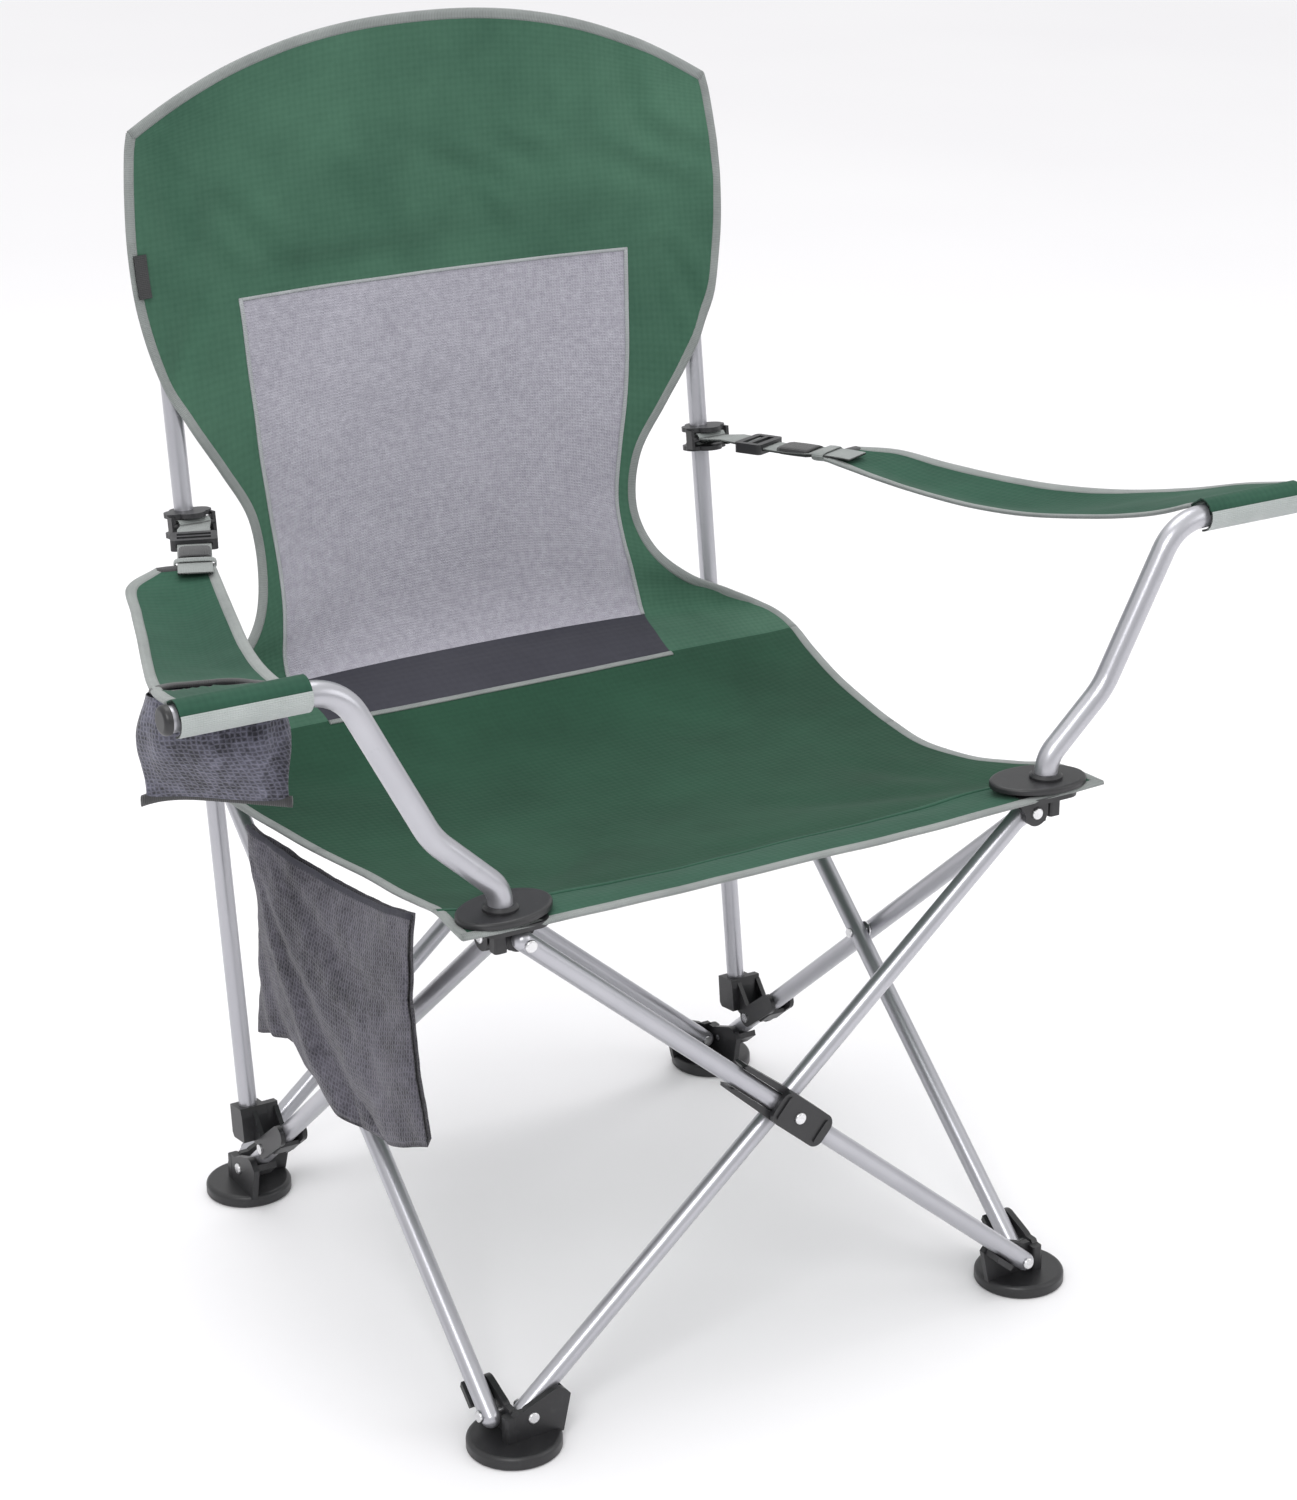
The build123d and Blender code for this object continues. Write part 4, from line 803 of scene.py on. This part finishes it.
def net_cup():
    """The net bag that hangs from the cup hole."""
    down = 26
    turn = np.linspace(0, 2 * np.pi, 72, endpoint=False)
    along = np.cos(turn - math.atan2(HEM_DIR[1], HEM_DIR[0]))
    over = np.sin(turn - math.atan2(HEM_DIR[1], HEM_DIR[0]))
    hem_across = np.array([-HEM_DIR[1], HEM_DIR[0]])
    top = np.stack([(CUP_RX + 7) * np.cos(turn), (CUP_RY + 7) * np.sin(turn)], 1)
    low = along[:, None] * HEM_DIR * CUP_HEM_HALF + over[:, None] * hem_across * 1.5
    ring_line = np.interp(turn, np.linspace(0, 2 * np.pi, 65), np.append(hole_line[:, 2], hole_line[0, 2]))
    rows = []
    for k in range(down + 1):
        s = k / down
        flat = s**1.6
        belly = 1 + 0.22 * math.sin(math.pi * s) ** 1.2
        spot = top * (1 - flat) * belly + low * flat
        droop = -7.0 * np.clip(-along, 0, 1) ** 3 * s
        z = (ring_line - 2.5) * (1 - s) + (CUP_LOW_Z + droop) * s
        ripple = 1 + 0.03 * np.sin(turn * 9 + s * 4) * math.sin(math.pi * s)
        rows.append(np.stack([-CUP_X + spot[:, 0] * ripple, CUP_Y + spot[:, 1] * ripple, z], 1))
    points = np.array(rows)
    closed = np.concatenate([points, points[:, :1]], 1)
    across_v = np.roll(points, -1, 1) - np.roll(points, 1, 1)
    down_v = np.gradient(points, axis=0)
    facing = np.cross(across_v, down_v)
    facing /= np.maximum(np.linalg.norm(facing, axis=2, keepdims=True), 1e-9)
    middle = points.mean(1, keepdims=True)
    if np.sum(facing[:, :, :2] * (points - middle)[:, :, :2]) < 0:
        facing = -facing
    facing = np.concatenate([facing, facing[:, :1]], 1)
    made = shell("cup_net_cloth", closed[:, ::-1], facing[:, ::-1], CUP_NET, 1.2)
    merge_doubles(made)
    run = np.linspace(-CUP_HEM_HALF - 4, CUP_HEM_HALF + 2, 24)
    hem_line = np.array([(-CUP_X + HEM_DIR[0] * a, CUP_Y + HEM_DIR[1] * a,
                          CUP_LOW_Z - 7.0 * max(0, -a / CUP_HEM_HALF) ** 3) for a in run])
    down_dir = np.repeat([[0.0, 0.0, -1.0]], len(hem_line), 0)
    face_dir = np.repeat([[-HEM_DIR[1], HEM_DIR[0], 0.0]], len(hem_line), 0)
    hem = banded("cup_net_hem", hem_line, down_dir, face_dir, BLACK_TAPE, width=9.0, thick=4.5, inset=1.0)
    for piece in (made, hem):
        on_body(piece, "arm_left", "pocket_net", *ARM_SQUASH)
    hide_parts("cup_net")


net_cup()


# ---------------------------------------------------------------- side pocket
# From the rear corner to the front: where the pocket's mouth hangs (x, y, z) and where its lower edge is.
POCKET_TOP = [(-299, 84, 421), (-296, 40, 419), (-290, -10, 417), (-285, -60, 417), (-284, -112, 422),
              (-287, -180, 437)]
POCKET_LOW = [(-300, 80, 238), (-302, 22, 256), (-303, -28, 247), (-301, -86, 232), (-298, -150, 236),
              (-296, -216, 262)]
POCKET_SQUASH = ("fold", (0, 1, 0), (0, 236, 0), 0.30)


def pocket():
    """A net bag of two layers, folded along its lower edge, its creases fanning out from the rear top."""
    cols, rows = 56, 36
    a = np.linspace(0, len(POCKET_TOP) - 1, cols + 1)
    top, low = eased(POCKET_TOP, a), eased(POCKET_LOW, a)
    share = np.linspace(0, 1, rows + 1)
    side = np.sin(np.linspace(0, np.pi, cols + 1)) ** 0.5
    layers = []
    for s, sign in [(v, -1) for v in share] + [(v, 1) for v in share[::-1][1:]]:
        row = top * (1 - s) + low * s
        belly = math.sin(math.pi * min(1.0, s * 0.97 + 0.02)) ** 0.8
        row[:, 0] += sign * (2.0 + 9.0 * belly * side * (1 if sign < 0 else 0.25))
        waist = math.sin(math.pi * s) * 10.0
        row[:, 1] += np.interp(a, [0, 5], [-waist * 0.9, waist * 1.1])
        row[:, 1] += (s - s * s) * 22 * np.interp(a, [0, 5], [-1, 0.4])
        fan = np.arctan2(top[:, 2] - row[:, 2] + 25, 130 - row[:, 1])
        row[:, 0] -= sign * (3.2 * np.sin(fan * 21) + 2.0 * np.sin(fan * 37 + 1)) * (0.25 + s) * side * 0.9
        layers.append(row)
    points = np.array(layers)
    points[..., 0] += 1.5 * lumps(points[..., 1], points[..., 2], 60, 23)
    facing = grid_normals(points)
    if facing[: rows // 2, :, 0].mean() > 0:
        facing = -facing
        points, facing = points[:, ::-1], facing[:, ::-1]
    made = shell("side_pocket_cloth", points, facing, POCKET_NET, 1.2)
    line, out, normal = edge_frame(points, facing, "front")
    hem = banded("side_pocket_hem", line, out, normal, GREY_STRIP, width=5.0, thick=2.6, inset=2.0)
    for piece in (made, hem):
        on_body(piece, "slider_left", "pocket_net", *POCKET_SQUASH)
    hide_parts("side_pocket")


pocket()


# ---------------------------------------------------------------- arm straps
STRAP_HALF = 14.0
STRAP_REACH = (318.0, 118.0, 627.0)                      # where the strap meets the right arm rest
PIN_WRAP = 4.6                                           # radius of the strap's turn round the collar's pin


def strap(side):
    """Webbing from a collar's pin to the arm rest, with a keeper loop and a black tail."""
    label = "right" if side > 0 else "left"
    low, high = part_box("arm_strap_" + label)
    pin = np.array([side * POST_X, high.y / MM - SHIFT_Y - 5.4, (low.z / MM) + 5.4])
    run = np.array(STRAP_REACH) * (side, 1, 1) - pin
    ahead = run / np.linalg.norm(run)
    sideways = np.cross(ahead, [0, 0, 1.0])
    sideways /= np.linalg.norm(sideways)
    up = np.cross(sideways, ahead)
    across_pin = np.array([1.0, 0, 0]) * np.sign(sideways[0])
    line, wide = [], []
    for angle in np.linspace(-80, 200, 15):
        r = math.radians(angle)
        line.append(pin + np.array([0, math.sin(r), math.cos(r)]) * PIN_WRAP)
        wide.append(across_pin)
    line, wide = line[::-1], wide[::-1]
    for s in np.linspace(0.16, 1.0, 22):
        ease = min(1.0, s * 2.2)
        line.append(pin + run * s + up * (3.0 * math.exp(-s * 5) + 1.2 * math.sin(s * 9)))
        wide.append(across_pin * (1 - ease) + sideways * ease)
    line, wide = np.array(line), np.array(wide)
    wide /= np.linalg.norm(wide, axis=1, keepdims=True)
    points = np.stack([line + wide * STRAP_HALF * s for s in (-1, -0.5, 0, 0.5, 1)], 1)
    facing = grid_normals(points)
    if facing[-8:, :, 2].mean() < 0:
        facing = -facing
        points, facing = points[:, ::-1], facing[:, ::-1]
    made = shell("arm_webbing_" + label, points, facing, TAPE, 1.8)
    axes = ahead, sideways, up
    loop = tape_loop("arm_loop_" + label, pin + run * 0.80, axes, 12.0, STRAP_HALF + 2.4, 3.4, TAPE)
    tail = tape_loop("arm_tail_" + label, pin + run * 0.62, axes, 34.0, STRAP_HALF - 1.5, 3.0, BLACK_TAPE)
    for piece in (made, loop, tail):
        on_body(piece, "arm_" + label, "webbing")
    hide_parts("arm_strap_" + label)


def tape_loop(name, at, axes, width, half, thick, finish):
    """A short band of tape wrapped once round the strap; axes point along it, across it and up."""
    ahead, sideways, up = axes
    turn = np.linspace(0, 2 * np.pi, 40, endpoint=False)
    flat, high = rounded(np.cos(turn), 0.35), rounded(np.sin(turn), 0.6)
    line = at + flat[:, None] * half * sideways + high[:, None] * thick * up
    out = flat[:, None] * 0.15 * sideways + high[:, None] * up + np.cos(turn)[:, None] ** 5 * sideways
    out /= np.linalg.norm(out, axis=1, keepdims=True)
    along = np.repeat(ahead[None], len(turn), 0)
    return banded(name, line, along, out, finish, width=width, thick=1.8, inset=0.0, closed=True, ring=8)


for side in (-1, 1):
    strap(side)


# ---------------------------------------------------------------- finishes of the frame's own parts
def finish_of(name):
    if name.startswith(("leg_tube", "back_post", "arm_tube")):
        return TUBE
    if name.startswith(("foot_rivets", "cross_pin", "hub_fasteners", "slider_rivets", "shoe_rivet")):
        return RIVET
    return PLASTIC


def crisp(made):
    """Smooth shading that keeps the moulded parts' corners."""
    bpy.ops.object.select_all(action="DESELECT")
    made.select_set(True)
    bpy.context.view_layer.objects.active = made
    bpy.ops.object.shade_smooth_by_angle(angle=math.radians(32))


for name, piece in NODES.items():
    if not piece.hide_render:
        piece.data.materials.clear()
        piece.data.materials.append(finish_of(name))
        crisp(piece)


# ---------------------------------------------------------------- stage, light and camera
def pale_floor():
    bpy.ops.object.select_all(action="DESELECT")
    bpy.ops.mesh.primitive_plane_add(size=14, location=(0, 2.0, -0.0004))
    floor = bpy.context.active_object
    floor.name = "floor"
    made = Finish("pale_floor", Roughness=0.9, Specular_IOR_Level=0.1)
    cloud = made.noise(made.where(), 0.8, 2.0, 0.5)
    floor.data.materials.append(made.done(made.mix(cloud, rgb(0.90, 0.89, 0.91), rgb(0.95, 0.945, 0.955))))


def studio_world():
    """White where the camera looks past the floor, and softer and darker low down for reflections."""
    world = bpy.data.worlds.new("studio")
    bpy.context.scene.world = world
    world.use_nodes = True
    tree = world.node_tree
    back = tree.nodes["Background"]
    where = tree.nodes.new("ShaderNodeTexCoord")
    split = tree.nodes.new("ShaderNodeSeparateXYZ")
    ramp = tree.nodes.new("ShaderNodeValToRGB")
    tree.links.new(where.outputs["Generated"], split.inputs[0])
    tree.links.new(split.outputs["Z"], ramp.inputs[0])
    low, high = ramp.color_ramp.elements
    low.position, low.color = 0.0, rgb(0.62, 0.62, 0.64)
    high.position, high.color = 0.55, rgb(1.0, 1.0, 1.0)
    tree.links.new(ramp.outputs[0], back.inputs[0])
    back.inputs[1].default_value = 1.0
    plain = tree.nodes.new("ShaderNodeBackground")
    plain.inputs[0].default_value, plain.inputs[1].default_value = rgb(1, 1, 1), 1.05
    path, mix = tree.nodes.new("ShaderNodeLightPath"), tree.nodes.new("ShaderNodeMixShader")
    tree.links.new(path.outputs["Is Camera Ray"], mix.inputs[0])
    tree.links.new(back.outputs[0], mix.inputs[1])
    tree.links.new(plain.outputs[0], mix.inputs[2])
    tree.links.new(mix.outputs[0], tree.nodes["World Output"].inputs[0])


def soft_light(name, at, towards, size, watts):
    data = bpy.data.lights.new(name, "AREA")
    data.shape, data.size, data.energy = "DISK", size, watts
    made = bpy.data.objects.new(name, data)
    bpy.context.scene.collection.objects.link(made)
    made.location = at
    made.rotation_euler = (Vector(towards) - Vector(at)).to_track_quat("-Z", "Y").to_euler()


CAMERA_AT = (-1291.3, -2185.3, 1414.2)
CAMERA_TOWARDS = (-9.4, -63.1, 473.9)
CAMERA_ROLL = 0.006


def camera():
    data = bpy.data.cameras.new("view")
    data.sensor_fit, data.sensor_width, data.lens = "AUTO", 36.0, 78.594
    data.clip_start, data.clip_end = 0.05, 60.0
    made = bpy.data.objects.new("view", data)
    bpy.context.scene.collection.objects.link(made)
    at, towards = place([CAMERA_AT, CAMERA_TOWARDS])
    look = (Vector(towards) - Vector(at)).to_track_quat("-Z", "Y").to_matrix().to_4x4()
    made.matrix_world = Matrix.Translation(at) @ look @ Matrix.Rotation(-CAMERA_ROLL, 4, "Z")
    bpy.context.scene.camera = made


pale_floor()
studio_world()
soft_light("key", (-2.2, -2.6, 3.2), (0, 0, 0.5), 1.8, 62)
soft_light("fill", (2.6, -2.4, 1.8), (0, 0, 0.5), 2.2, 18)
soft_light("top", (0.2, 0.6, 3.4), (0, 0, 0.4), 2.4, 36)
camera()
bpy.context.scene.view_settings.view_transform = "Standard"
